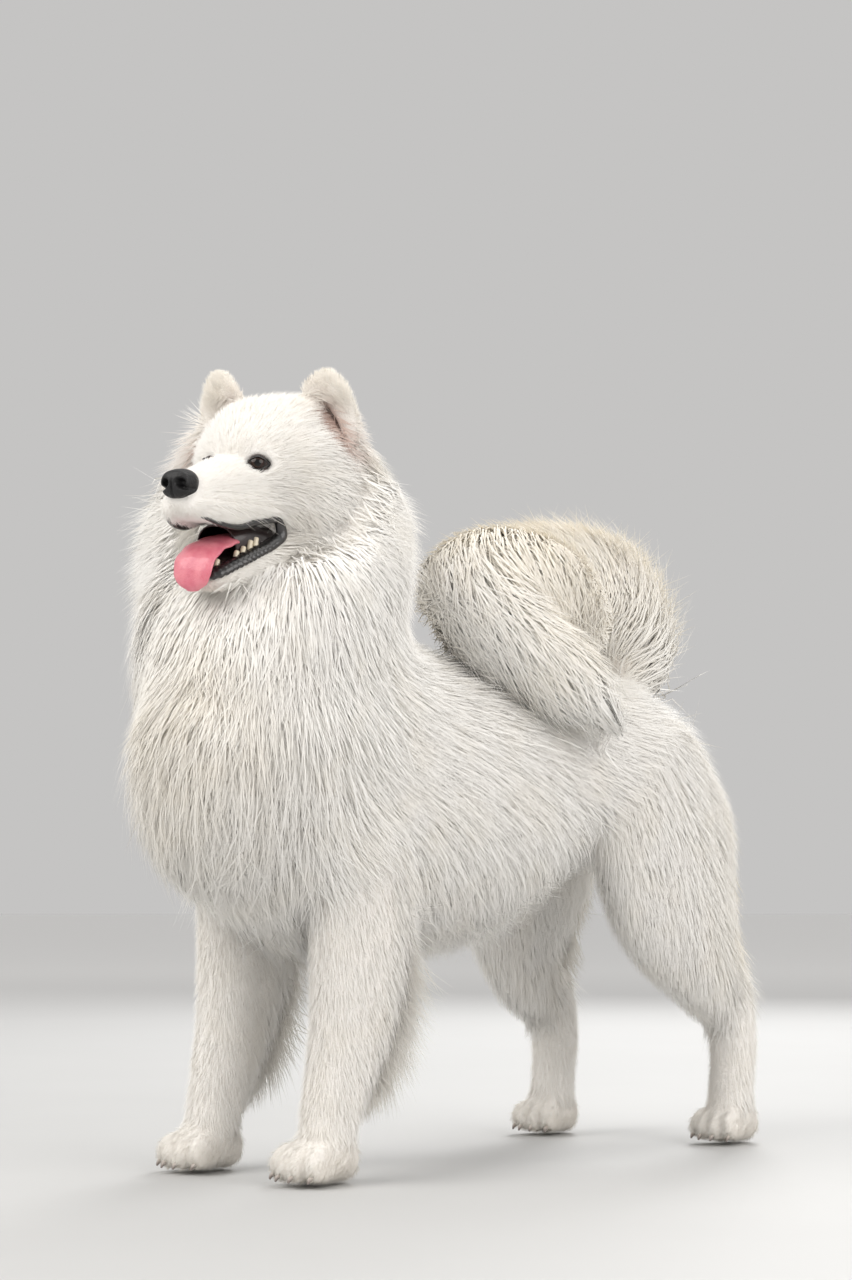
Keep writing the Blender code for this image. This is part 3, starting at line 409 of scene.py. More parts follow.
class Number:
    """A number in a material: sums and products of it become Math nodes."""

    def __init__(self, finish, socket):
        self.finish, self.socket = finish, socket

    def math(self, operation, *values):
        return self.finish.number("ShaderNodeMath", {"operation": operation}, values)

    def __add__(self, other):
        return self.math("ADD", self, other)

    def __sub__(self, other):
        return self.math("SUBTRACT", self, other)

    def __rsub__(self, other):
        return self.math("SUBTRACT", other, self)

    def __mul__(self, other):
        return self.math("MULTIPLY", self, other)

    __radd__, __rmul__ = __add__, __mul__

    def step(self, low, high):
        """0 below low, 1 above high, smooth between."""
        return self.finish.number("ShaderNodeMapRange", {"interpolation_type": "SMOOTHSTEP"},
                                  {"Value": self, "From Min": low, "From Max": high})


class Finish:
    """A material with a Principled shader and short ways to the nodes that feed it."""

    def __init__(self, name, **constants):
        self.material = bpy.data.materials.new(name)
        self.material.use_nodes = True
        self.tree = self.material.node_tree
        self.shader = self.tree.nodes["Principled BSDF"]
        for socket, value in constants.items():
            self.shader.inputs[socket.replace("_", " ")].default_value = value

    def node(self, kind, settings=None, inputs=()):
        """Any node: its settings first, then the values or links of its sockets."""
        made = self.tree.nodes.new(kind)
        for key, value in (settings or {}).items():
            setattr(made, key, value)
        for key, value in inputs.items() if isinstance(inputs, dict) else enumerate(inputs):
            value = plain(value)
            if isinstance(value, bpy.types.NodeSocket):
                self.tree.links.new(value, made.inputs[key])
            else:
                made.inputs[key].default_value = value
        return made

    def number(self, kind, settings=None, inputs=(), output=0):
        return Number(self, self.node(kind, settings, inputs).outputs[output])

    def place(self):
        return self.node("ShaderNodeTexCoord").outputs["Object"]

    def noise(self, scale, detail=3.0, rough=0.5, vector=None):
        return self.number("ShaderNodeTexNoise", {}, {"Vector": vector or self.place(), "Scale": scale,
                                                      "Detail": detail, "Roughness": rough})

    def cells(self, scale):
        return self.number("ShaderNodeTexVoronoi", {}, {"Vector": self.place(), "Scale": scale})

    def attributes(self, *names):
        kind = "ShaderNodeAttribute"
        return [self.number(kind, {"attribute_name": name}, output="Fac") for name in names]

    def mix(self, factor, first, second):
        colours = [(*colour, 1.0) if isinstance(colour, tuple) else colour for colour in (first, second)]
        inputs = {0: factor, 6: colours[0], 7: colours[1]}
        return self.node("ShaderNodeMix", {"data_type": "RGBA"}, inputs).outputs[2]

    def feed(self, socket, value):
        self.tree.links.new(plain(value), self.shader.inputs[socket])

    def paint(self, mask, first, second, rough, swing, scale):
        """Base colour from first to second by a mask, and roughness from rough up by a noise's swing."""
        self.feed("Base Color", self.mix(mask, first, second))
        self.feed("Roughness", rough + swing * self.noise(scale))

    def bump(self, height, distance, strength=1.0):
        inputs = {"Height": height, "Distance": distance, "Strength": strength}
        self.feed("Normal", self.node("ShaderNodeBump", {}, inputs).outputs[0])


# %% [markdown]
# The coat is white, with cream on the tail, the breast, the rump, the nape, the ears and the feet, and
# pink in the ears' cups and on the chin; the skin paints that pink dark brownish, in the cups with painted
# shade of their hollows. Skin and tufts read the same two attributes, cream and pink, so their markings
# agree. Each tuft also carries shade, its own small difference, tip, from 0 at its root to 1 at its tip,
# and strand, from -1 to 1 across it. By tip, each tuft is painted darker towards its root: painted shade
# where the tufts cover each other.

# %% Coat and skin
WHITE, CREAM, PINK = (0.95, 0.935, 0.905), (0.93, 0.86, 0.73), (0.60, 0.42, 0.36)


def coat_finish(name, depth, streaks, mottle):
    """White to cream by the marking, with painted shade at the roots, and fine strands along each tuft."""
    made = Finish(name, Specular_IOR_Level=0.2)
    cream, pink, tip, shade, strand = made.attributes("cream", "pink", "tip", "shade", "strand")
    across = made.node("ShaderNodeCombineXYZ", {}, [strand * 1.5 + shade * 40, tip * 0.7, shade * 9.0])
    hairs = made.noise(2.6, 1.0, 0.6, across.outputs[0])
    patches = made.noise(22.0, 1.0).step(0.42, 0.75)
    colour = made.mix(cream + patches * 0.14, WHITE, CREAM)
    colour = made.mix(pink, colour, PINK)
    # Painted shade: darker and a little creamier towards each tuft's root, where the tufts cover each
    # other; depth is how much.
    colour = made.mix((1 - tip).step(0.0, 1.0) * depth, colour, (0.84, 0.78, 0.69))
    colour = made.mix(hairs.step(0.48, 0.80) * streaks + shade * mottle, colour, (0.72, 0.67, 0.60))
    made.feed("Base Color", colour)
    made.feed("Roughness", 0.60 + hairs * 0.25)
    return made.material


def skin_finish():
    """The short undercoat, a little darker than the tufts, with fine bumps; near black lining and painted
    shade in the mouth.
    """
    made = Finish("undercoat", Specular_IOR_Level=0.2)
    cream, pink, dark = made.attributes("cream", "pink", "dark")
    fine = made.noise(420.0, 4.0, 0.6)
    colour = made.mix(cream, (0.92, 0.89, 0.85), (0.86, 0.76, 0.62))
    colour = made.mix(fine.step(0.35, 0.7) * 0.20, colour, (0.78, 0.71, 0.64))
    # Pink is painted a dark brownish pink: in the ears' cups their pink skin with painted shade of the
    # hollows.
    colour = made.mix(pink, colour, (0.30, 0.19, 0.155))
    # Near black where dark is set: in the mouth the lips' black lining with painted shade of its hollow,
    # under the lids the black rims.
    colour = made.mix(dark, colour, (0.030, 0.020, 0.018))
    made.feed("Base Color", colour)
    made.feed("Roughness", 0.9 - fine * 0.15)
    made.bump(fine, 0.0015)
    return made.material


# The second number, depth, is how much painted shade darkens the tufts' roots.
COAT = coat_finish("coat_tufts", 0.12, 0.14, 0.05)
FEATHER = coat_finish("feather_tufts", 0.05, 0.12, 0.05)
SHORT_COAT = coat_finish("short_tufts", 0.26, 0.35, 0.20)
SKIN = skin_finish()

# %% [markdown]
# The skin is one closed surface. Each part of the flesh is first a grid of its own, drawn in from the
# packed form by the depth of the coat there. A voxel remesh fuses them all, smoothing takes the creases
# out of the joints, as muscle and skin do, and the mesh is then thinned to two thirds.

# %% Parts of the skin
TORSO_COAT, NECK_COAT, TAIL_COAT, THIGH_COAT = 0.021, 0.026, 0.026, 0.016
ACROSS_HEAD = (math.cos(HEAD_YAW), math.sin(HEAD_YAW), 0)
EAR_HIGH = 0.086


def flip(rows):
    return [(-row[0], *row[1:]) for row in rows]


def ear_rows(sign):
    """The ear's stations: the near ear turns its cup to the front, the right one is drawn up and out."""
    inward, taller = (0.008, 0.0) if sign > 0 else (-0.003, 0.006)
    rows = []
    for x, y, z, *size in EAR if sign > 0 else flip(EAR):
        shift = 0.005 * z / EAR_HIGH + inward * math.sin(min(z / 0.066, 1.4) * 1.57)
        rows.append((x - sign * shift, y, z + taller * z / EAR_HIGH, *size))
    return rows


def ear_grid(form):
    """An ear as a shell: its front is pressed in by its own thickness, and deeper in the cup low down."""
    grid = form.grid(40, 48, 0.0, 5)
    share = np.linspace(-0.1, 1.1, grid.shape[0])[:, None]
    upward = form.upward[STATIONS // 2]
    ahead = 1 if upward[1] < 0 else -1
    facing_us = np.clip(ahead * np.sin(full_turn(48)), 0, 1)
    thick = form.read(form.size, np.clip(share[:, 0], 0, 1))[:, 1:2]
    pressed = 1.25 * thick * facing_us * np.clip(1.08 - share, 0, 1) ** 0.3
    cup = np.exp(-((share - 0.38) / 0.26) ** 4) * facing_us ** 3
    return grid - (pressed + 0.009 * cup)[..., None] * (ahead * upward)


def toe_rows(x, y, scale):
    """Four arched toes and the pad behind them."""
    rows = [(
        (x, y + 0.024 * scale, 0.024, 0.027 * scale, 0.024, 0.024, 2.2),
        (x, y - 0.002 * scale, 0.028, 0.035 * scale, 0.027, 0.028, 2.2),
        (x, y - 0.024 * scale, 0.024, 0.031 * scale, 0.021, 0.024, 2.2),
    )]
    for spread, ahead in TOES:
        middle = y - (0.4 * ahead + 0.014) * scale
        rows.append((
            (x + 0.015 * spread * scale, y - 0.012 * scale, 0.022, 0.0115 * scale, 0.018, 0.022),
            (x + 0.0175 * spread * scale, middle, 0.021, 0.0118 * scale, 0.017, 0.021),
            (x + 0.020 * spread * scale, y - ahead * scale, 0.015, 0.0095 * scale, 0.012, 0.015),
        ))
    return rows


# %% One skin from all the parts
REGIONS = {
    "torso": (Form(TORSO), TORSO_COAT, None),
    "neck": (Form(NECK, last_side=ACROSS_HEAD), NECK_COAT, None),
    "tail": (Form(TAIL), TAIL_COAT, None),
    "skull": (Form(SKULL), 0.005, HEAD_TURN),
    "jaw": (Form(JAW), 0.004, HEAD_TURN),
}
for side, sign in (("left", 1), ("right", -1)):
    across_ear = (EAR_WIDTH_LIES[0], EAR_WIDTH_LIES[1] * sign, 0)
    REGIONS[f"ear_{side}"] = (Form(ear_rows(sign), across_ear), 0.0, HEAD_TURN)
    REGIONS[f"foreleg_{side}"] = (Form(foreleg_rows(sign)), 0.003, None)
    REGIONS[f"thigh_{side}"] = (Form(thigh_rows(sign)), THIGH_COAT, None)
    REGIONS[f"shank_{side}"] = (Form(shank_rows(sign)), 0.002, None)

parts = []
for name, (form, inset, turn) in REGIONS.items():
    grid = ear_grid(form) if name.startswith("ear") else form.grid(90, 48, inset, 6)
    part = surface("part_" + name, grid)
    if turn:
        part.data.transform(turn)
    parts.append(part)
for rows in (CHEEK_RUFF, TAIL_DOME):
    parts.append(surface("part_pad", Form(rows).grid(40, 40, 0.0, 6)))
for sign in (1, -1):
    for rows in (FLEWS, LOWER_LIPS):
        grid = Form(rows if sign > 0 else flip(rows)).grid(40, 28, 0.0, 5)
        parts.append(head_frame(surface("part_lip", grid)))
    for foot in feet(sign):
        for rows in toe_rows(*foot):
            parts.append(surface("part_toe", Form(rows).grid(16, 20, 0.002, 4)))

bpy.ops.object.select_all(action="DESELECT")
for part in parts:
    part.select_set(True)
bpy.context.view_layer.objects.active = parts[0]
bpy.ops.object.join()
skin = parts[0]
skin.name = skin.data.name = "skin"


def triples(values, name):
    table = np.empty(len(values) * 3)
    values.foreach_get(name, table)
    return table.reshape(-1, 3)


def points_of(mesh):
    return triples(mesh.vertices, "co")


def apply_modifiers(obj):
    graph = bpy.context.evaluated_depsgraph_get()
    mesh = bpy.data.meshes.new_from_object(obj.evaluated_get(graph))
    obj.modifiers.clear()
    obj.data = mesh


VOXEL = 0.0036
remesh = skin.modifiers.new("remesh", "REMESH")
remesh.mode, remesh.voxel_size, remesh.use_smooth_shade = "VOXEL", VOXEL, True
apply_modifiers(skin)

# %% Smooth the skin, most of all where neck, breast, legs and nape join
x, y, z = points_of(skin.data).T
slant = 0.6 * (z - 0.40) + 0.03 - y
joints = ramp(z, 0.30, 0.08) * np.exp(-(slant / 0.10) ** 2) * ramp(z, 0.80, -0.06)
joints = np.maximum(joints, np.exp(-((z - 0.50) / 0.07) ** 2) * ramp(y, 0.12, -0.06))
joints = np.maximum(joints, ramp(z, 0.24, 0.06) * ramp(z, 0.46, -0.06))
nape = ramp(y, 0.0, 0.03) * ramp(z, 0.66, 0.04) * ramp(z, 0.84, -0.03)
joints = np.clip(np.maximum(joints, nape) * np.clip((0.545 - y) / 0.05, 0.35, 1), 0, 1)
group = skin.vertex_groups.new(name="joints")
ROUNDS, JOINT_ROUNDS, KEPT_FACES = 4, 70, 0.64
for level in range(1, 11):
    chosen = np.flatnonzero(np.round(joints * 10) == level)
    group.add(chosen.tolist(), level / 10, "REPLACE")
for name, rounds, chosen in (("smooth", ROUNDS, ""), ("blend", JOINT_ROUNDS, "joints")):
    smooth = skin.modifiers.new(name, "SMOOTH")
    smooth.factor, smooth.iterations, smooth.vertex_group = 0.5, rounds, chosen
skin.modifiers.new("thin", "DECIMATE").ratio = KEPT_FACES
apply_modifiers(skin)
print("skin", len(skin.data.vertices), "points", len(skin.data.polygons), "faces")

# %% The head's frame and the eyes' frames


def turned(ways, matrix):
    return ways @ np.array(matrix)[:3, :3].T


def moved(points, matrix):
    return turned(points, matrix) + np.array(matrix)[:3, 3]


def to_head(points):
    return moved(points, HEAD_TURN.inverted())


def on_side(vector, sign):
    return Vector((sign * vector.x, vector.y, vector.z))


def eye_frame(sign):
    """Places x along the eye, y up and z out of the face, in the head's frame."""
    aim = on_side(EYE_AIM, sign)
    long = Vector((0, 0, 1)).cross(aim).normalized()
    turn = Matrix((long, aim.cross(long), aim)).transposed().to_4x4()
    return Matrix.Translation(on_side(EYE, sign)) @ turn


def almond(points, sign):
    """A place's distance from an eye's middle, as a share of the lid's almond, and its height out of it."""
    local = moved(points, eye_frame(sign).inverted())
    turn = np.arctan2(local[:, 1] / LID_HIGH, local[:, 0] / LID_LONG)
    high = LID_HIGH * (1 - 0.25 * np.abs(np.cos(turn)))
    return np.hypot(local[:, 0] / LID_LONG, local[:, 1] / high), local[:, 2]


# %% [markdown]
# The eyes sit in hollows of the skin. Inside the almond the skin is pressed back behind the eyeball, and
# just outside it stays, so that the lids have something to close on.

# %% Eye sockets
placed = points_of(skin.data)
in_head = to_head(placed)
for sign in (1, -1):
    share, out = almond(in_head, sign)
    near = (share < 1.25) & (out > -0.012)
    depth = np.where(near, (out + 0.006) * ramp(share, 1.25, -0.45), 0.0)
    in_head = in_head - np.maximum(depth, 0)[:, None] * np.array(on_side(EYE_AIM, sign))

# %% Cups of the ears
CUP_X, CUP_Z = 0.071, 0.034
for sign in (1, -1):
    middle = sign * (CUP_X - 0.35 * (in_head[:, 2] - CUP_Z))
    off = np.hypot((in_head[:, 0] - middle) / 0.0115, (in_head[:, 2] - CUP_Z) / 0.022)
    front = ramp(in_head[:, 1], 0.008, -0.006)
    in_head[:, 1] += 0.020 * np.exp(-off ** 4) * front
placed = moved(in_head, HEAD_TURN)
placed[:, 2] = np.maximum(placed[:, 2], 0.0)
skin.data.vertices.foreach_set("co", placed.ravel())
skin.data.update()

# %% Markings, as one function of place


def bell(distance, width):
    return np.exp(-(distance / width) ** 2)


def patch(points, centre, stretch, width):
    """A bell round a centre, with the distance stretched along each axis."""
    return bell(np.linalg.norm((points - centre) * stretch, axis=1), width)


def markings(points):
    """Cream and pink by place."""
    head = to_head(points)
    x, y, z = points.T
    across, along, up = head.T
    tail = ramp(z, 0.545, 0.05) * ramp(y, 0.20, 0.06)
    breast = 0.34 * patch(points, (0.0, -0.11, 0.50), (1, 1, 0.7), 0.09)
    rear = 0.30 * ramp(y, 0.52, 0.10) * ramp(z, 0.18, 0.1)
    ears = 0.35 * ramp(up, 0.030, 0.04)
    nape = 0.22 * ramp(y, 0.03, 0.10) * ramp(z, 0.60, 0.1)
    paws = 0.30 * ramp(z, 0.05, -0.05)
    cream = np.clip(0.36 * tail + breast + rear + ears + nape + paws, 0, 0.75)
    # The ears' cups: pink skin, which the skin's finish paints darker as shade of the hollows.
    inner = np.zeros(len(points))
    for sign in (1, -1):
        middle = sign * (0.0705 - 0.45 * (up - CUP_Z))
        cup = np.stack([across - middle, 0.7 * (along - 0.002), 0.46 * (up - CUP_Z)], axis=1)
        inner = np.maximum(inner, 1.7 * bell(np.linalg.norm(cup, axis=1), 0.0110))
    chin = 0.35 * patch(head, (0.012, -0.128, -0.151), (1, 1, 1.2), 0.011)
    return cream, np.clip(inner + chin, 0, 0.9)


def mouth_dark(points):
    """1 inside the open mouth, between the upper and the lower lips."""
    x, y, z = to_head(points).T
    along = (-0.171, -0.138, -0.111, -0.074, -0.046)
    upper = np.interp(y, along, (-0.081, -0.0835, -0.0860, -0.0775, -0.076))
    lower = np.interp(y, (-0.134, -0.108, -0.079, -0.046), (-0.139, -0.1255, -0.112, -0.092))
    wide = np.interp(y, along, (0.010, 0.029, 0.034, 0.040, 0.046))
    inside = (y < -0.044) & (y > -0.172) & (z < upper + 0.002) & (z > lower) & (np.abs(x) < wide)
    return inside.astype(float)


def set_attribute(mesh, name, values):
    made = mesh.attributes.new(name, "FLOAT", "POINT")
    made.data.foreach_set("value", np.asarray(values, np.float32))


def under_lids(points):
    """1 inside the almonds, near the eyes only."""
    head, inside = to_head(points), np.zeros(len(points))
    for sign in (1, -1):
        near = np.abs(head - np.array(on_side(EYE, sign))).max(axis=1) <= 0.03
        inside = np.maximum(inside, near & (almond(head, sign)[0] < 1.02))
    return inside


normals = triples(skin.data.vertex_normals, "vector")
cream, pink = markings(placed)
set_attribute(skin.data, "cream", cream)
set_attribute(skin.data, "pink", pink)
# dark: near black in the mouth, the black lining with painted shade of its hollow, and black under the
# lids.
set_attribute(skin.data, "dark", np.maximum(mouth_dark(placed), under_lids(placed)))

# %% Parent and name a piece


def dress(obj, finish, slot="white_coat", nodes=()):
    """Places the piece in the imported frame, gives it its finish and ties it to the body."""
    obj.data.transform(Matrix.Translation(PLACED))
    obj.data.materials.clear()
    obj.data.materials.append(finish)
    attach(obj, "root")
    if nodes:
        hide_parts(*nodes)
    print(obj.name, len(obj.data.polygons), "faces as", slot, "in place of", ", ".join(nodes) or "no node")


FLESH = [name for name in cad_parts
         if not name.startswith(("eye", "lips", "tongue", "nose", "tail"))]

# %% [markdown]
# The coat grows from the skin. Roots are drawn over the skin's faces by their area, more of them where the
# coat is dense, and each one belongs to the form that it lies nearest to, which gives it a share and an
# angle. The lie of the coat is a field of directions: back along the head, down and outward over the ruff,
# back and down over the ribs, down the legs and along the tail. A tuft follows that field over the skin in
# short steps, rising as it goes.

# %% Which form a place belongs to


def form_of(points):
    """The region of each place, with its share and angle on that region's form."""
    best = np.full(len(points), 9.0)
    region = np.zeros(len(points), int)
    share, angle = np.zeros(len(points)), np.zeros(len(points))
    for index, (name, (form, inset, turn)) in enumerate(REGIONS.items()):
        local = to_head(points) if turn else points
        apart = np.stack([((local - centre) ** 2).sum(axis=1) for centre in form.centre[::4]])
        near = 4 * apart.argmin(axis=0)
        wide, above, below = form.size[near].T
        offset = local - form.centre[near]
        flat = (offset * form.across[near]).sum(axis=1)
        high = (offset * form.upward[near]).sum(axis=1)
        way = np.arctan2(high / np.where(high > 0, above, below), flat / wide)
        own = form.at(form.shares[near], way, inset) - form.centre[near]
        off = np.abs(np.linalg.norm(offset, axis=1) - np.linalg.norm(own, axis=1))
        closer = off < best
        best[closer], region[closer] = off[closer], index
        share[closer], angle[closer] = form.shares[near][closer], way[closer]
    return region, share, angle


NAMES = list(REGIONS)
mesh = skin.data
mesh.calc_loop_triangles()
corners = np.empty(len(mesh.loop_triangles) * 3, np.int32)
mesh.loop_triangles.foreach_get("vertices", corners)
corners = corners.reshape(-1, 3)
a, b, c = (placed[corners[:, k]] for k in range(3))
face_area = np.linalg.norm(np.cross(b - a, c - a), axis=1) / 2
middles = (a + b + c) / 3
face_region, face_share, face_angle = form_of(middles)
for index, name in enumerate(NAMES):
    print(name, "area", round(float(face_area[face_region == index].sum()), 4))

# %% The lie of the coat


def ruff_share(points):
    """1 on the neck and the breast, 0 on the ribs, smooth across a line that slants over the shoulder."""
    x, y, z = points.T
    t = np.clip((0.6 * (z - 0.40) + 0.075 - y) / 0.13, 0, 1)
    return t * t * (3 - 2 * t)


def frill_share(points):
    """1 where the long hair of the cheeks springs, beside and behind the face, 0 elsewhere."""
    x, y, z = to_head(points).T
    beside = ramp(np.abs(x), 0.050, 0.025) * ramp(y, -0.035, 0.03)
    level = beside * ramp(z, 0.055, -0.03) * ramp(z, -0.13, 0.04)
    return level * ramp(y, 0.09, -0.03)


def body_lie(points):
    """Back over the ribs, outward and down over the ruff, down over the rump."""
    x, y, z = points.T
    ruff = ruff_share(points)
    top = ramp(z, 0.62, 0.1)
    low = ramp(z, 0.40, -0.10) * (1 - ruff)
    rump = ramp(y, 0.50, 0.06)
    out = (0.25 + (0.30 + 0.5 * top) * ruff) * x / 0.15
    back = (1 - ruff) * 1.0 + ruff * np.clip((y + 0.02) / 0.10, -0.30, 0.9) - 0.55 * low - 0.8 * rump
    down = (1 - ruff) * (-0.50 - 0.5 * ramp(z, 0.46, -0.1)) - ruff - 0.4 * low - 1.6 * rump
    return np.stack([out, back, down], axis=1)


def tail_lie(points, share):
    """Along the tail, fanned away from its root, and draped down on the near side."""
    form, share = REGIONS["tail"][0], share[:, None]
    fan = ramp(share, 0.50, -0.25)
    end = ramp(share, 0.80, 0.15)
    out = unit(points - form.read(form.centre, share[:, 0]))
    away = unit(points - np.array((0.03, 0.42, 0.56)))
    along = (1 - 0.35 * fan) * form.read(form.tangent, share[:, 0])
    way = along + (0.15 - 0.60 * end) * out + 0.60 * fan * away
    drape = ramp(points[:, :1], 0.035, 0.05) * (1 - fan)
    return (1 - 0.7 * drape) * way + 0.7 * drape * np.array((0.10, 0.62, -0.70))


def head_lie(head):
    """Back from the nose, up over the brow and down over the cheeks."""
    x, y, z = head.T
    brow = 0.35 * ramp(y, -0.03, -0.06) * ramp(z, -0.05, 0.03)
    cheek = 0.9 * ramp(z, 0.02, -0.06) * ramp(y, -0.06, 0.06)
    side = 0.30 * np.sign(x) * np.clip(np.abs(x) / 0.05, 0, 1)
    return turned(np.stack([side, np.ones(len(x)), brow - cheek - 0.25 * (z < -0.06)], axis=1), HEAD_TURN)


def ear_lie(head):
    """Up the ear, spreading from its middle."""
    x, ones = head[:, 0], np.ones(len(head))
    spread = 0.25 * np.sign(x) * (np.abs(x) - 0.078) / 0.03
    return turned(np.stack([spread, 0.25 * ones, ones], axis=1), HEAD_TURN)


def leg_lie(points, angle):
    """Down the leg, backwards on its rear, and forwards over the toes."""
    x, y, z = points.T
    rear = np.clip(np.sin(angle), 0, 1)
    way = np.stack([0.1 * np.sign(x), 0.12 + 0.75 * rear * (z > 0.05), -np.ones(len(x))], axis=1)
    way[z < 0.045] = (0.0, -0.9, -0.75)
    return way


def lie_of(points, region, share, angle):
    """The way the coat runs at each place, before it is laid into the skin."""
    way, head = np.zeros((len(points), 3)), to_head(points)
    for index, name in enumerate(NAMES):
        here = region == index
        if name in ("torso", "neck"):
            way[here] = unit(body_lie(points[here]))
        elif name == "tail":
            way[here] = unit(tail_lie(points[here], share[here]))
        elif name in ("skull", "jaw"):
            way[here] = unit(head_lie(head[here]))
        elif name.startswith("ear"):
            way[here] = unit(ear_lie(head[here]))
        else:
            way[here] = unit(leg_lie(points[here], angle[here]))
    frill, x = frill_share(points)[:, None], head[:, 0]
    outward = unit(turned(np.stack([np.sign(x), 0.25 - 0.40 * (x < 0), 0 * x - 0.55], axis=1), HEAD_TURN))
    return unit((1 - 0.8 * frill) * way + 0.8 * frill * outward)


# %% Tree of the skin's faces, for laying tufts on
tree = BVHTree.FromPolygons(placed.tolist(), corners.tolist(), epsilon=0.0)


def nearest(points):
    """The nearest place on the skin and the skin's smoothed normal there."""
    places, face = np.empty_like(points), np.empty(len(points), int)
    for k, point in enumerate(points.tolist()):
        places[k], _, face[k], _ = tree.find_nearest(point)
    return places, unit(normals[corners[face]].mean(axis=1))


# %% [markdown]
# A tuft is a closed, three-sided sliver: two edges lie on the coat and a low ridge runs between them, so
# light falls on it as on a lock of hair. Neighbouring tufts lean their tips together into clumps, which
# is what makes a long coat look combed and not like bristles.

# %% Grow tufts
draw = np.random.default_rng(14)
ROOT_DEPTH, CLUMPS_PER_TUFT, CLUMP_PULL = 0.0018, 0.06, 0.14
CRISP, CRISP_SHORT = 0.24, 0.45
WIDTHS, RIDGE = (0.75, 1.0, 0.8, 0.5), 0.45
SIDES = ((0, 1), (1, 2), (2, 0))
SLACK_BELOW, SLACK_ABOVE, OVERHANG_KEPT, MOST_OVERHANG = 0.008, 0.002, 0.35, 0.03
UNWRAP_SCALE, UNWRAP_START, UNWRAP_CELL = 0.92, 0.04, 0.0015


def clump(roots, tips, pull):
    """Draws each tip part of the way to the tip of the clump's own middle tuft."""
    chosen = draw.choice(len(roots), max(1, int(len(roots) * CLUMPS_PER_TUFT)), replace=False)
    near = KDTree(len(chosen))
    for k, index in enumerate(chosen):
        near.insert(roots[index], k)
    near.balance()
    own = chosen[[near.find(root)[1] for root in roots.tolist()]]
    return tips + pull[:, None] * (tips[own] + 0.35 * (roots - roots[own]) - tips)


def scatter(faces, count, style):
    """Places on the chosen faces, more of them where the style asks for a crowd, and the face of each."""
    crowd = style(middles[faces], face_region[faces], face_share[faces], face_angle[faces])[4]
    weight = face_area[faces] * crowd
    chosen = faces[draw.choice(len(faces), count, p=weight / weight.sum())]
    u, v = draw.random(count), draw.random(count)
    over = u + v > 1
    u[over], v[over] = 1 - u[over], 1 - v[over]
    first, second, third = (placed[corners[chosen, k]] for k in range(3))
    return first + u[:, None] * (second - first) + v[:, None] * (third - first), chosen


def grow(name, faces, count, style, steps, finish, nodes=(), slot="white_coat"):
    """Tufts on the chosen faces of the skin.

    style gives length, width, height of the tip over the skin, freedom, which is 0 to lie on the skin and
    1 to run straight, and crowding, all from the root's place, region, share and angle. Each tuft has
    steps segments.
    """
    roots, chosen = scatter(faces, count, style)
    normal = unit(normals[corners[chosen]].mean(axis=1))
    where = face_region[chosen], face_share[chosen], face_angle[chosen]
    long, wide, height, free, _ = np.broadcast_arrays(*style(roots, *where))
    long = long * draw.uniform(0.75, 1.2, count)
    height = height * (1 - 0.75 * draw.random(count) ** 1.3)
    way = lie_of(roots, *where) + draw.normal(0, 1.0, (count, 3)) * (0.09 + 1.1 * long)[:, None]
    lines, ups = [roots - ROOT_DEPTH * normal], [normal]
    place, up = roots, normal
    stride, steep = (long / steps)[:, None], (height / long)[:, None]
    for k in range(1, steps + 1):
        part = k / steps
        lay = unit(way - (way * up).sum(axis=1)[:, None] * up)
        straight = lines[-1] + stride * unit(lay * (1 - 0.3 * part) + 0.3 * part * way + steep * up)
        place, up = nearest(place + stride * lay)
        hugged = place + (height * part ** 0.8)[:, None] * up
        lines.append(hugged + free[:, None] * (straight - hugged))
        ups.append(up)
    shift = clump(roots, lines[-1], CLUMP_PULL * draw.random(count)) - lines[-1]
    lines = [line + (k / steps) ** 2 * shift for k, line in enumerate(lines)]
    crisp = CRISP_SHORT if finish is SHORT_COAT else CRISP
    print(name, count, "tufts of", steps, "steps")
    dress(slivers(name, roots, lines, ups, wide, crisp, *where[1:]), finish, slot, nodes)


def within_box(points):
    """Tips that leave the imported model's box come back most of the way, and none goes under the floor."""
    least, most = (np.array(corner) - np.array(PLACED) for corner in CAD_BOX)
    inside = np.clip(points, least - SLACK_BELOW, most + SLACK_ABOVE)
    points = inside + OVERHANG_KEPT * np.clip(points - inside, -MOST_OVERHANG, MOST_OVERHANG)
    points[..., 2] = np.maximum(points[..., 2], 0.0008)
    return points


def sliver_faces(steps):
    """The triangles of one sliver, and which of them are on its underside."""
    last = 3 * steps
    faces, below = [(0, 2, 1)], [False]
    for low in range(0, last - 3, 3):
        for p, q in SIDES:
            faces += [(low + p, low + q, low + 3 + q), (low + p, low + 3 + q, low + 3 + p)]
            below += [q == 0] * 2
    for p, q in SIDES:
        faces.append((last - 3 + p, last - 3 + q, last))
        below.append(q == 0)
    return np.array(faces), np.array(below)


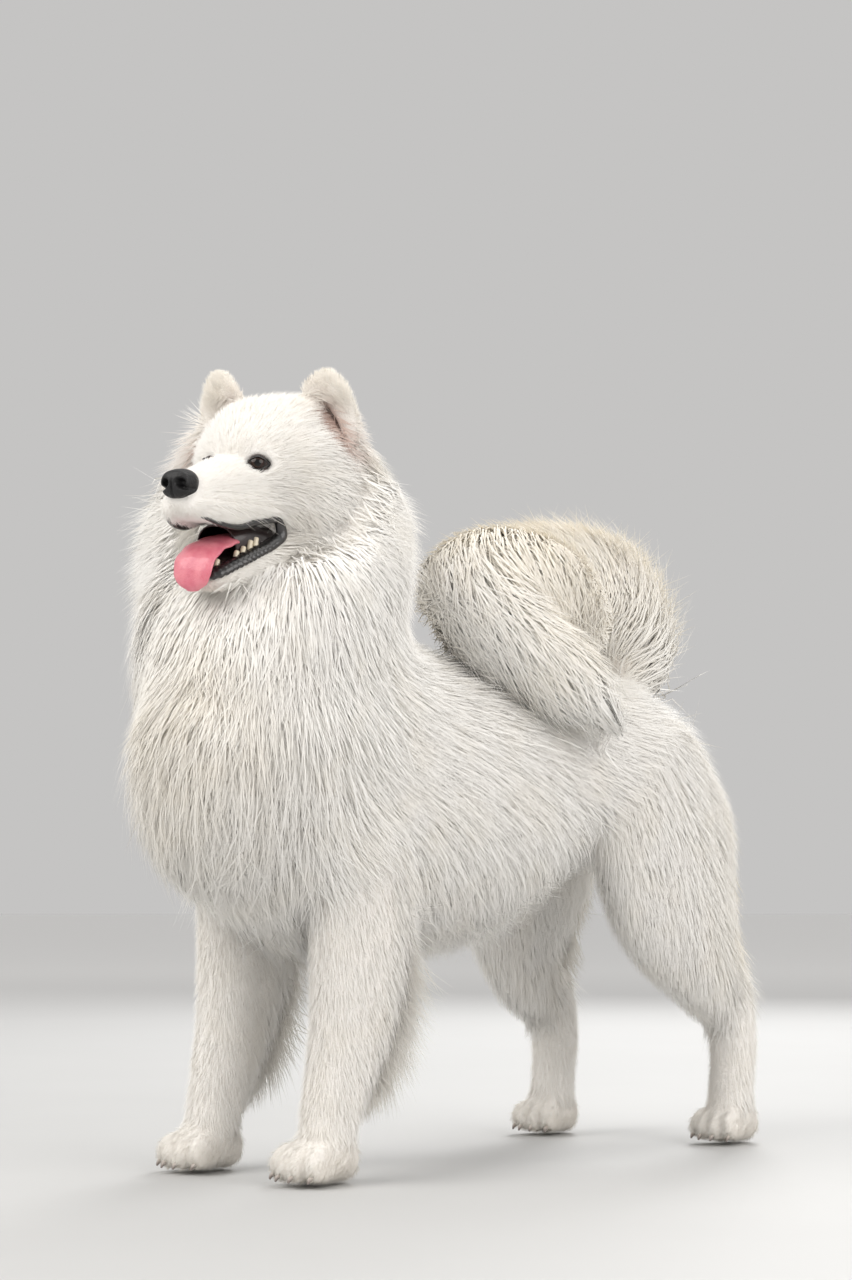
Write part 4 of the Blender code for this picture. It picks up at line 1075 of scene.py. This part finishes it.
def slivers(name, roots, lines, ups, wide, crisp, share, angle):
    """Joins the lines into closed slivers with shading normals, attributes and an unwrap of their own."""
    count, steps = len(roots), len(lines) - 1
    each = 3 * steps + 1
    points, shading, below = [], [], []
    for k in range(steps):
        ahead = unit(lines[k + 1] - lines[k])
        aside = unit(np.cross(ups[k], ahead))
        rise = unit(np.cross(ahead, aside))
        half = (wide * 0.5 * WIDTHS[k])[:, None]
        points += [lines[k] - half * aside, lines[k] + RIDGE * half * rise, lines[k] + half * aside]
        soft = unit((1 - crisp) * ups[k] + crisp * rise)
        shading += [unit(soft - 1.1 * crisp * aside), soft, unit(soft + 1.1 * crisp * aside)]
        below += [unit(-rise - 0.5 * aside), -rise, unit(-rise + 0.5 * aside)]
    points = within_box(np.stack([*points, lines[-1]], axis=1))
    shading = np.stack([*shading, unit((1 - crisp) * ups[-1] + crisp * rise)], axis=1)
    below = np.stack([*below, -rise], axis=1)
    pattern, under = sliver_faces(steps)
    first = points[:, pattern]
    if (np.cross(first[:, :, 0], first[:, :, 1]) * first[:, :, 2]).sum() < 0:
        pattern = pattern[:, ::-1]
    faces = (np.arange(count)[:, None, None] * each + pattern).reshape(-1, 3)
    made = bpy.data.meshes.new(name)
    made.vertices.add(count * each)
    made.vertices.foreach_set("co", points.ravel())
    made.loops.add(faces.size)
    made.loops.foreach_set("vertex_index", faces.ravel())
    made.polygons.add(len(faces))
    made.polygons.foreach_set("loop_start", np.arange(0, faces.size, 3))
    made.update(calc_edges=True)
    made.shade_smooth()
    at = np.stack([angle / (2 * math.pi) + 0.5, np.clip(share, 0, 1)], axis=1) * UNWRAP_SCALE + UNWRAP_START
    rows = np.repeat(np.linspace(-1, 0.6, steps), 3)
    cell = UNWRAP_CELL * np.stack([np.tile((-1.0, 0.0, 1.0), steps), rows], axis=1)
    unwrap = at[:, None] + np.concatenate([cell, [(0.0, UNWRAP_CELL)]])[None]
    layer = made.uv_layers.new(name="OFBake")
    layer.data.foreach_set("uv", unwrap.reshape(-1, 2)[faces.ravel()].astype(np.float32).ravel())
    cream, pink = markings(roots)
    set_attribute(made, "cream", np.repeat(cream, each))
    set_attribute(made, "pink", np.repeat(pink, each))
    set_attribute(made, "shade", np.repeat(draw.random(count) ** 2, each))
    set_attribute(made, "tip", np.tile([*np.repeat(np.arange(steps) / steps, 3), 1.0], count))
    set_attribute(made, "strand", np.tile([*[-1.0, 0.0, 1.0] * steps, 0.0], count))
    by_corner = np.where(under[None, :, None, None], below[:, pattern], shading[:, pattern])
    made.normals_split_custom_set(by_corner.reshape(-1, 3).tolist())
    obj = bpy.data.objects.new(name, made)
    bpy.context.scene.collection.objects.link(obj)
    return obj


# %% [markdown]
# How long, wide and high the coat stands is given by place: a finger's length on the ribs, longer on the
# ruff, the breeches and the tail, and short on the face, the ears and the fronts of the legs.

# %% Sizes of the coat by place


def is_in(region, *names):
    return np.isin(region, [NAMES.index(name) for name in names])


def body_style(p, region, share, angle):
    """Ribs, back, breast and ruff by place alone: longest on the ruff, close and short under the chin."""
    x, y, z = p.T
    ruff = ruff_share(p)
    low = ramp(z, 0.36, -0.08) * (1 - ruff)
    rear = ramp(y, 0.52, 0.05)
    top = ramp(z, 0.62, 0.12) * ruff
    throat = ramp(y, -0.005, -0.03) * ramp(z, 0.575, 0.04)
    throat = throat * ramp(np.abs(x), 0.10, -0.03)
    side = ramp(np.abs(x), 0.07, 0.05) * ruff
    long = (0.052 + 0.036 * low + 0.034 * ruff + 0.03 * rear) * (1 - 0.5 * throat)
    wide = 0.0020 + 0.0004 * ruff
    right = ramp(x, 0.02, -0.06)
    nape = ramp(y, 0.03, 0.05) * ramp(z, 0.60, 0.06) * ramp(x, -0.02, 0.05)
    brow = ramp(z, 0.765, 0.04) * right
    height = (0.021 + 0.010 * ruff + 0.022 * side * right * (0.5 + 0.5 * top)) * (1 - 0.75 * throat)
    height, long = height * (1 - 0.65 * nape) * (1 - 0.6 * brow), long * (1 - 0.4 * brow)
    frill = frill_share(p)
    free = 0.10 + 0.45 * low + 0.10 * ruff + 0.2 * rear + 0.30 * frill
    return long + 0.012 * frill * right, wide, height, free, 1.0 + 0.3 * low + 0.3 * top + 0.5 * frill


def tail_style(p, region, share, angle):
    """The plume: long, fanning freely from its root and hanging at its tip."""
    fan = ramp(share, 0.50, -0.35)
    tip = ramp(share, 0.6, 0.4)
    near = ramp(p[:, 0], 0.05, 0.05)
    long = 0.080 + 0.050 * fan + 0.020 * tip
    lower = ramp(share, 0.60, 0.1) * ramp(share, 1.0, -0.15)
    height = 0.021 + 0.013 * fan + 0.008 * near + 0.008 * lower - 0.010 * ramp(share, 0.9, 0.1)
    return long, 0.0023, height, 0.10 + 0.45 * fan + 0.10 * near, 1.0 + 0.3 * fan


def head_style(p, region, share, angle):
    """Close on the muzzle, growing over the crown and the cheeks; bare lids, nose and mouth."""
    x, y, z = to_head(p).T
    back = ramp(y, -0.12, 0.12) ** 1.3
    cheek = ramp(y, -0.080, 0.06) * ramp(z, 0.025, -0.06)
    jaw = ramp(z, -0.105, -0.02) * ramp(y, -0.02, -0.03)
    behind = ramp(y, 0.005, 0.03)
    near_cup = patch(np.stack([np.abs(x), y, z], axis=1), (CUP_X, 0, CUP_Z), (1, 1, 0.6), 0.026)
    cheek = np.maximum(cheek, 0.7 * behind)
    long = (0.0110 + 0.018 * back + 0.045 * cheek * (1 - 0.7 * jaw)) * (1 - 0.5 * near_cup)
    bare = np.minimum(*(almond(to_head(p), sign)[0] + 9 * (sign * x < 0) for sign in (1, -1))) < 1.25
    bare |= mouth_dark(p) > 0.5
    bare |= (np.abs(x) < 0.020) & (y < -0.158) & (z > -0.062)
    bare |= markings(p)[1] * (z > -0.02) > 0.45
    crowd = np.where(bare, 0.0, 1.0 + 1.5 * ramp(y, -0.05, -0.06))
    height = (0.0052 + 0.0060 * back + 0.014 * cheek * (1 - 0.7 * jaw)) * (1 - 0.5 * near_cup)
    frill = frill_share(p) * (1 - jaw)
    right = np.clip(-x / 0.05, 0, 1)
    long = long + frill * (0.006 + 0.030 * right)
    height = height + frill * (0.004 + 0.020 * right)
    wide, free = 0.0013 + 0.0005 * back + 0.0003 * cheek, 0.12 + 0.10 * cheek + 0.35 * frill
    return long, wide, height, free, crowd + 0.8 * frill


def ear_style(p, region, share, angle):
    """Velvet on the ears, with longer hair at the edge of the cup and none in it."""
    cup = markings(p)[1]
    long = (0.015 - 0.004 * np.clip(share, 0, 1)) * (1 - 0.4 * (cup > 0.05))
    return long, 0.0013, 0.0065, 0.20, np.where(cup > 0.30, 0.0, 1.0)


def leg_style(p, region, share, angle):
    """Thighs and forelegs: short in front, a long fringe behind."""
    rear = np.clip(np.sin(angle), 0, 1) ** 1.5
    thigh = is_in(region, "thigh_left", "thigh_right")
    high = ramp(p[:, 2], 0.07, 0.1)
    upper = ramp(p[:, 2], 0.30, 0.08)
    long = np.where(thigh, 0.040 + 0.040 * rear, 0.017 + 0.082 * rear * high + 0.02 * upper)
    wide = np.where(thigh, 0.0021, 0.0017 + 0.0006 * rear)
    height = np.where(thigh, 0.014, 0.0072 + 0.024 * rear * high + 0.010 * upper)
    return long, wide, height, np.where(thigh, 0.10 + 0.30 * rear, 0.06 + 0.58 * rear), 1.0 + 0.8 * rear


def foot_style(p, region, share, angle):
    """Hocks, pasterns and toes."""
    low = ramp(p[:, 2], 0.06, -0.04)
    long = 0.018 + (0.0105 - 0.018) * low
    return long, 0.0017 - 0.0003 * low, 0.0062, 0.08, np.where(p[:, 2] < 0.004, 0.0, 1.0 + low)


# %% [markdown]
# Every region gets tufts of its own size. Each piece stays under 200,000 triangles, so the larger regions
# are grown in a left and a right half.

# %% Coats


def of(*names):
    return is_in(face_region, *names)


left = middles[:, 0] > np.where(is_in(face_region, "neck", "skull"), -0.005, 0.0)
low_leg = middles[:, 2] < 0.075
DENSITY = 1.0


def coat(name, chosen, count, *look, **more):
    grow(name, np.flatnonzero(chosen), int(count * DENSITY), *look, **more)


def finer(style):
    """The same coat's stray hairs: much thinner, a little longer, and standing further off."""

    def stray(*places):
        long, wide, height, free, crowd = style(*places)
        return 1.12 * long, 0.0011, 1.35 * height, np.clip(free + 0.22, 0, 1), crowd

    return stray


for side, half in (("left", left), ("right", ~left)):
    coat(f"coat_flank_{side}", of("torso") & half, 32000, body_style, 1, COAT)
    coat(f"coat_ruff_{side}", of("neck") & half, 15000, body_style, 2, COAT)
    coat(f"fill_ruff_{side}", of("neck") & half, 16000, body_style, 1, COAT)
    coat(f"coat_thigh_{side}", of(f"thigh_{side}"), 17000, leg_style, 1, COAT)
    coat(f"coat_foreleg_{side}", of(f"foreleg_{side}") & ~low_leg, 14000, leg_style, 1, SHORT_COAT)
    coat(f"coat_foot_{side}", of(f"foreleg_{side}", f"shank_{side}") & (low_leg | of(f"shank_{side}")),
         11000, foot_style, 1, SHORT_COAT)
coat("coat_head", of("skull", "jaw"), 42000, head_style, 1, SHORT_COAT)
coat("coat_ears", of("ear_left", "ear_right"), 9000, ear_style, 1, SHORT_COAT, slot="ear_coat")
first_half = face_share < 0.45
tail_halves = (("root", first_half, ("tail_root",)), ("tip", ~first_half, ("tail_curl", "tail_tip")))
for name, half, nodes in tail_halves:
    coat(f"coat_tail_{name}", of("tail") & half, 10500, tail_style, 2, FEATHER, nodes, "cream_coat")
coat("strays_body", of("torso", "neck"), 5000, finer(body_style), 2, COAT)
coat("strays_tail", of("tail"), 2800, finer(tail_style), 3, FEATHER, slot="cream_coat")
dress(skin, SKIN, nodes=FLESH)

# %% [markdown]
# The eyes are dark brown and wet. Each eyeball is a sphere whose own coordinates run from the middle of
# the pupil outwards, so that the iris is a ring in them. Black lids close round it in an almond.

# %% Eyes


def ball_grid():
    """A sphere about z, from the front pole to the back one, its front raised by a cosine bulge."""
    polar, turn = np.linspace(0.0, math.pi, 33)[:, None], full_turn(48)
    size = EYE_RADIUS + 0.0006 * np.clip(np.cos(polar), 0, 1) ** 6
    return np.stack([size * np.sin(polar) * np.cos(turn), size * np.sin(polar) * np.sin(turn),
                     size * np.cos(polar) + 0 * turn], axis=-1)


def eye_finish():
    """Black pupil, brown iris with fine spokes, darker limbus; the coat layer is the tear film."""
    made = Finish("wet_eye", Coat_Roughness=0.02, Coat_Weight=0.35, Specular_IOR_Level=0.2)
    ring, spoke = made.attributes("ring", "spoke")
    place = made.node("ShaderNodeCombineXYZ", {}, [ring * 0.4, spoke, 0.0])
    spokes = made.noise(9.0, 2.0, 0.6, place.outputs[0])
    brown = made.mix(spokes.step(0.35, 0.7), (0.010, 0.004, 0.003), (0.040, 0.016, 0.008))
    colour = made.mix(ring.step(0.30, 0.34), (0.003, 0.003, 0.003), brown)
    colour = made.mix(ring.step(0.62, 0.72), colour, (0.006, 0.004, 0.004))
    made.paint(ring.step(0.90, 0.98), colour, (0.05, 0.03, 0.03), 0.06, 0.10, 60.0)
    return made.material


LID_SKIN = Finish("black_lid", Coat_Weight=0.4, Coat_Roughness=0.2)
LID_SKIN.paint(LID_SKIN.noise(260.0), (0.004, 0.0035, 0.0035), (0.012, 0.010, 0.010), 0.28, 0.25, 320.0)
LID_SKIN.bump(LID_SKIN.cells(700.0), 0.0003, 0.5)
EYE_FINISH = eye_finish()
skin_tree = BVHTree.FromPolygons(to_head(placed).tolist(), corners.tolist(), epsilon=0.0)

for side, sign in (("left", 1), ("right", -1)):
    eyeball = surface(f"eyeball_{side}", ball_grid())
    x, y, z = points_of(eyeball.data).T
    set_attribute(eyeball.data, "ring", np.arctan2(np.hypot(x, y), z) / 1.05)
    set_attribute(eyeball.data, "spoke", np.arctan2(y, x) * 3.0)
    eyeball.data.transform(HEAD_TURN @ eye_frame(sign))
    dress(eyeball, EYE_FINISH, "dark_eye", (f"eye_{side}",))

# %% Lids


def lid_grid(sign):
    """Round the almond: from under its edge, up over a rounded rim, and out on to the skin."""
    turn, out = full_turn(72), np.linspace(0.0, 1.0, 18)[:, None]
    reach = 0.80 + 0.38 * out
    x = reach * LID_LONG * 0.93 * np.cos(turn)
    y = reach * LID_HIGH * 0.84 * np.sin(turn) * (1 - 0.22 * np.abs(np.cos(turn)))
    ball = np.sqrt(np.maximum(EYE_RADIUS ** 2 - x ** 2 - y ** 2, 0.0))
    rim = 0.0012 * np.sin(np.clip(out * 1.7, 0, 1) * math.pi)
    from_eye = eye_frame(sign)
    inward = -(from_eye.to_3x3() @ Vector((0, 0, 1)))
    skin_high = np.zeros(x.shape)
    for at in np.ndindex(x.shape):
        hit = skin_tree.ray_cast(from_eye @ Vector((x[at], y[at], 0.03)), inward)[0]
        if hit:
            skin_high[at] = (from_eye.inverted() @ hit).z
    outer = ramp(out, 0.45, 0.55)
    level = np.maximum(ball + 0.0006, 0.0) * (1 - outer) + (skin_high - 0.0010) * outer + rim
    front = np.stack([x, y, level], axis=-1)
    rear = front - np.array((0, 0, 0.0035))
    return np.concatenate([front, rear[::-1]])


for side, sign in (("left", 1), ("right", -1)):
    lids = surface(f"lids_{side}", lid_grid(sign), closed=True)
    lids.data.transform(HEAD_TURN @ eye_frame(sign))
    dress(lids, LID_SKIN.material, "black_leather", (f"eyelids_{side}",))

# %% [markdown]
# The nose is black leather: a rounded pad with a pebbled surface, two nostrils that curl out to the sides
# and a groove down the middle. The nostrils and the groove are dents in the same grid.

# %% Nose


def nose_grid():
    """The nose's form with dents: bells in its front face for the nostrils and for the groove."""
    grid = Form(NOSE).grid(60, 96, 0.0004, 24)
    x, y, z = np.moveaxis(grid, -1, 0)
    for sign in (1, -1):
        hole = np.hypot((x - sign * 0.0095) / 0.0048, (z + 0.0450) / 0.0042)
        slit = np.hypot((x - sign * 0.0155) / 0.0056, (z + 0.0500) / 0.0020)
        front = ramp(y, -0.160, -0.008)
        y = y + front * (0.0100 * np.exp(-hole ** 4) + 0.0048 * np.exp(-slit ** 2))
        x = x - sign * front * 0.002 * np.exp(-slit ** 2)
    groove = 0.0022 * np.exp(-(x / 0.0011) ** 2) * ramp(z, -0.040, -0.006)
    return np.stack([x, y + groove * ramp(y, -0.16, -0.01), z], axis=-1)


LEATHER = Finish("nose_leather", Coat_Weight=0.12, Coat_Roughness=0.18, Specular_IOR_Level=0.35)
pebbles = LEATHER.cells(620.0)
LEATHER.paint(pebbles.step(0.2, 0.8), (0.004, 0.004, 0.004), (0.011, 0.010, 0.011), 0.34, 0.25, 180.0)
LEATHER.bump(1 - pebbles, 0.0006, 0.8)
dress(head_frame(surface("nose_pad", nose_grid())), LEATHER.material, "black_leather", ("nose",))

# %% [markdown]
# Black lips edge the open mouth. A tube is carried round a closed path; on the lower lip its thickness
# rises and falls, as the real serrated edge does. Behind it lie the gums, the tongue and the lower teeth.

# %% Lips
SERRATION_STEP = 0.0062


def ring_tube(rows, rings, sides, serration):
    """A closed tube: rows are read round the path, and the radius swells by a sine on the lower lip."""
    table = smooth_rows([*rows, *rows, *rows, rows[0]], 3 * rings + 1)[rings:2 * rings]
    centre, size = table[:, :3], table[:, 3:6]
    tangent = unit(np.roll(centre, -1, axis=0) - np.roll(centre, 1, axis=0))
    outward = centre - centre.mean(axis=0)
    outward = unit(outward - (outward * tangent).sum(axis=1)[:, None] * tangent)
    upward = np.cross(outward, tangent)
    walk = np.cumsum(np.linalg.norm(np.roll(centre, -1, axis=0) - centre, axis=1))
    lower = ramp(centre[:, 2], -0.095, -0.02)
    swell = 1 + serration * lower * np.sin(walk / SERRATION_STEP * 2 * math.pi)
    wide, high = (size[:, :2] * swell[:, None]).T[..., None]
    wide, high = np.cos(full_turn(sides)) * wide, np.sin(full_turn(sides)) * high
    return centre[:, None] + outward[:, None] * wide[..., None] + upward[:, None] * high[..., None]


LIP_SKIN = Finish("lip_skin", Coat_Weight=0.7, Coat_Roughness=0.10)
patches = LIP_SKIN.noise(150.0).step(0.35, 0.75)
LIP_SKIN.paint(patches, (0.004, 0.004, 0.004), (0.016, 0.012, 0.012), 0.22, 0.25, 240.0)
LIP_SKIN.bump(LIP_SKIN.noise(420.0), 0.0006, 0.7)
lips = surface("lip_edge", ring_tube([*LIPS, *flip(LIPS[-2:0:-1])], 260, 16, 0.10), closed=True)
dress(head_frame(lips), LIP_SKIN.material, "black_leather", ("lips",))

# %% Inside of the mouth
MOUTH = (
    (0, -0.030, -0.096, 0.036, 0.020, 0.022),
    (0, -0.055, -0.099, 0.037, 0.021, 0.022, 2.2),
    (0, -0.080, -0.101, 0.031, 0.020, 0.024, 2.2),
    (0, -0.098, -0.106, 0.025, 0.022, 0.024, 2.2),
)
GUMS = Finish("gums", Coat_Weight=0.5, Coat_Roughness=0.15)
# The gums are painted darker towards the back of the mouth: painted shade of its hollow.
GUMS.paint(*GUMS.attributes("mouth_depth_shade"), (0.045, 0.014, 0.014), (0.010, 0.004, 0.004), 0.30, 0.2, 160.0)
GUMS.bump(GUMS.noise(120.0), 0.001, 0.6)


def mouth_grid():
    """The floor and roof of the mouth: a hollow trough, open in front, its wall 1.5 millimetres thick."""
    form, share = Form(MOUTH), np.linspace(0.0, 1.0, 40)[:, None]
    outer, inner = form.at(share, full_turn(64)), form.at(share, full_turn(64), 0.0015)
    back = form.centre[0] + 0.0 * inner[:1]
    return np.concatenate([back - (0, -0.002, 0), outer, inner[::-1], back])


mouth = surface("mouth_lining", mouth_grid())
# The mask runs from 0 at the front of the mouth to 1 towards the back, for the painted shade there.
set_attribute(mouth.data, "mouth_depth_shade", ramp(points_of(mouth.data)[:, 1], -0.135, 0.06))
dress(head_frame(mouth), GUMS.material, "pink_tongue")

# %% Tongue


def tongue_grid():
    """The tongue's form with a groove: the top falls by a bell across its width, more towards the root."""
    form = Form(TONGUE)
    grid = form.grid(90, 64, 0.0, 10)
    share = np.clip(np.linspace(-0.1, 1.1, grid.shape[0])[:, None], 0, 1)
    across, over = np.cos(full_turn(64)), np.clip(np.sin(full_turn(64)), 0, 1)
    groove = 0.0030 * np.exp(-(across / 0.16) ** 2) * over * (1 - 0.5 * share)
    rolled = 0.0035 * across ** 2 * (1 - share) * np.abs(across)
    ripple = 0.0006 * np.sin(share * 40) * across ** 2
    up = form.read(form.upward, share[:, 0])[:, None]
    return grid + (rolled + ripple - groove)[..., None] * up


TONGUE_SKIN = Finish("tongue", Coat_Weight=0.55, Coat_Roughness=0.12, Subsurface_Weight=0.12,
                     Subsurface_Radius=(0.004, 0.0015, 0.001))
patches = TONGUE_SKIN.noise(70.0).step(0.3, 0.7)
TONGUE_SKIN.paint(patches, (0.66, 0.14, 0.20), (0.78, 0.24, 0.29), 0.26, 0.25, 200.0)
TONGUE_SKIN.bump(1 - TONGUE_SKIN.cells(900.0), 0.0005, 0.6)
dress(head_frame(surface("tongue_blade", tongue_grid())), TONGUE_SKIN.material, "pink_tongue", ("tongue",))

# %% Teeth
# Each row is x, y and z of a tooth's neck, its radius and its height.
TEETH = (
    (0.0270, -0.101, -0.1200, 0.0020, 0.0090),
    (0.0290, -0.092, -0.1160, 0.0026, 0.0100),
    (0.0315, -0.083, -0.1115, 0.0030, 0.0125),
    (0.0330, -0.075, -0.1075, 0.0032, 0.0120),
    (0.0100, -0.126, -0.1360, 0.0016, 0.0055),
    (0.0160, -0.120, -0.1330, 0.0022, 0.0120),
)
ENAMEL = Finish("enamel", Coat_Weight=0.4, Coat_Roughness=0.08)
ENAMEL.paint(ENAMEL.noise(140.0), (0.80, 0.74, 0.60), (0.70, 0.58, 0.40), 0.16, 0.12, 300.0)


def joined(name, grids):
    """One object of several closed grids of the same shape."""
    rings, sides = grids[0].shape[:2]
    faces = grid_faces(rings, sides).reshape(-1, 4)
    faces = np.concatenate([faces + k * rings * sides for k in range(len(grids))])
    return tidy(new_mesh(name, grids, faces))


def tooth_rows(x, y, z, radius, high, sign):
    return (
        (sign * x, y, z - 0.006, radius * 0.9, radius * 0.8, radius * 0.8, 2.4),
        (sign * x, y, z + 0.2 * high, radius, radius * 1.2, radius * 1.2, 2.2),
        (sign * x * 0.99, y, z + 0.6 * high, radius * 0.7, radius * 1.0),
        (sign * x * 0.98, y + 0.0015, z + high, 0.0006),
    )


grids = [Form(tooth_rows(*row, sign)).grid(14, 16, 0.0, 3) for row in TEETH for sign in (1, -1)]
dress(head_frame(joined("teeth", grids)), ENAMEL.material)

# %% [markdown]
# Whiskers are stiff, tapered hairs that spring from rows along the muzzle and droop at their tips. Claws
# are short curved cones that show a little beyond the hair of the toes.

# %% Whiskers
WHISKER = Finish("whisker", Roughness=0.35)
WHISKER.feed("Base Color", WHISKER.mix(WHISKER.noise(80.0), (0.86, 0.84, 0.80), (0.70, 0.66, 0.60)))


def whisker_rows(sign, row, place):
    """A parabola: out of the muzzle, swept back, and down with the square of its length."""
    length = 0.045 + 0.012 * math.sin(3.1 * row + 1.7 * place)
    start = np.array((sign * 0.030, -0.146 + 0.014 * place, -0.050 - 0.008 * row))
    root = np.array(skin_tree.find_nearest(Vector(start))[0])
    way = unit(np.array((sign * 1.0, 0.25 + 0.14 * place, 0.06 - 0.20 * row)))
    rows = []
    for t in np.linspace(0, 1, 6):
        at = root + way * (length * t - 0.002) + np.array((0, 0.006, -0.012)) * t ** 2
        rows.append((*at, 0.00036 * (1 - 0.85 * t)))
    return rows


def hair_grid(rows, rings=10, sides=4):
    """A thin round tube that narrows to its tip, without the least size of a form."""
    table = smooth_rows(rows, rings)
    tangent = unit(np.gradient(table[:, :3], axis=0))
    across = unit(np.cross(tangent, (0.0, 0.0, 1.0)))
    upward = np.cross(across, tangent)
    turn = full_turn(sides)[..., None]
    tube = table[:, None, :3] + table[:, None, 3:4] * (
        np.cos(turn) * across[:, None] + np.sin(turn) * upward[:, None])
    start, end = (np.repeat(table[None, k:k + 1, :3], sides, 1) for k in (0, len(table) - 1))
    return np.concatenate([start, tube, end])


places = [(sign, row, place) for sign in (1, -1) for row in range(3) for place in range(5)]
whiskers = joined("whiskers", [hair_grid(whisker_rows(*place)) for place in places])
dress(head_frame(whiskers), WHISKER.material)

# %% Claws
HORN = Finish("claw_horn", Coat_Weight=0.2)
HORN.paint(*HORN.attributes("tip"), (0.55, 0.49, 0.44), (0.25, 0.21, 0.19), 0.30, 0.2, 220.0)
HORN.bump(HORN.noise(260.0), 0.0004, 0.5)


def claw_grid(x, y, scale, spread, ahead):
    x, y = x + 0.020 * spread * scale, y - (ahead + 0.004) * scale
    rows = ((0, 0.0120, 0.0026), (0.003, 0.0100, 0.0021), (0.005, 0.0065, 0.0009))
    return hair_grid([(x, y - out * scale, z, radius) for out, z, radius in rows], 12, 12)


standing = [feet(sign)[k] for k in (0, 1) for sign in (1, -1)]
claws = joined("claws", [claw_grid(*foot, *toe) for foot in standing for toe in TOES])
set_attribute(claws.data, "tip", ramp(points_of(claws.data)[:, 2], 0.0125, -0.004))
dress(claws, HORN.material)

# %% [markdown]
# The dog stands on a plain pale floor in soft studio light: a broad key from the camera's left, a weaker
# fill from the right, and a pale surround. The camera stands where the photograph was taken from.

# %% Floor
FLOOR = Finish("studio_floor", Roughness=0.7)
from_dog = FLOOR.number("ShaderNodeVectorMath", {"operation": "LENGTH"}, [FLOOR.place()], 1)
ground = FLOOR.mix(FLOOR.noise(3.0), (0.55, 0.55, 0.545), (0.58, 0.58, 0.575))
FLOOR.feed("Base Color", FLOOR.mix(from_dog.step(1.0, 8.0), ground, (0.97, 0.965, 0.955)))
FAR = 55
floor = new_mesh("floor", [(-FAR, -FAR, 0), (FAR, -FAR, 0), (FAR, FAR, 0), (-FAR, FAR, 0)], [(0, 1, 2, 3)])
floor.data.materials.append(FLOOR.material)

# %% Lights
world = bpy.data.worlds.new("surround")
bpy.context.scene.world = world
bpy.context.scene.view_settings.view_transform = "Standard"
world.use_nodes = True
surround = world.node_tree.nodes["Background"].inputs
surround["Color"].default_value = (0.90, 0.89, 0.88, 1.0)
surround["Strength"].default_value = 0.62


def soft_light(name, place, size, power, colour, aim=(0, 0, 0.5)):
    lamp = bpy.data.lights.new(name, "AREA")
    lamp.shape, lamp.size, lamp.energy, lamp.color = "DISK", size, power, colour
    obj = bpy.data.objects.new(name, lamp)
    bpy.context.scene.collection.objects.link(obj)
    way = Vector(aim) - Vector(place)
    obj.matrix_world = Matrix.Translation(place) @ way.to_track_quat("-Z", "Y").to_matrix().to_4x4()


soft_light("key", (-0.6, -3.0, 2.8), 3.4, 92, (1.0, 0.98, 0.95))
soft_light("fill", (3.2, 0.2, 1.9), 3.0, 60, (1.0, 0.98, 0.96))
soft_light("top", (0.3, 0.6, 3.4), 3.0, 30, (1.0, 0.99, 0.97), aim=(0, 0.2, 0.5))
soft_light("rim", (-1.6, 2.8, 2.4), 1.6, 60, (1.0, 1.0, 1.0))

# %% Camera
CAMERA_AT, CAMERA_TURN, CAMERA_PITCH, CAMERA_LENS = (1.892, -1.532, 0.285), 47.0, 6.6, 64.0
lens = bpy.data.cameras.new("camera")
lens.lens, lens.sensor_width, lens.clip_end = CAMERA_LENS, 36.0, 60.0
camera = bpy.data.objects.new("camera", lens)
bpy.context.scene.collection.objects.link(camera)
camera.matrix_world = (
    Matrix.Translation(Vector(CAMERA_AT) + PLACED)
    @ Matrix.Rotation(math.radians(CAMERA_TURN), 4, "Z")
    @ Matrix.Rotation(math.radians(90 + CAMERA_PITCH), 4, "X")
)
bpy.context.scene.camera = camera

# %% Bring the scene up to date
bpy.context.view_layer.update()
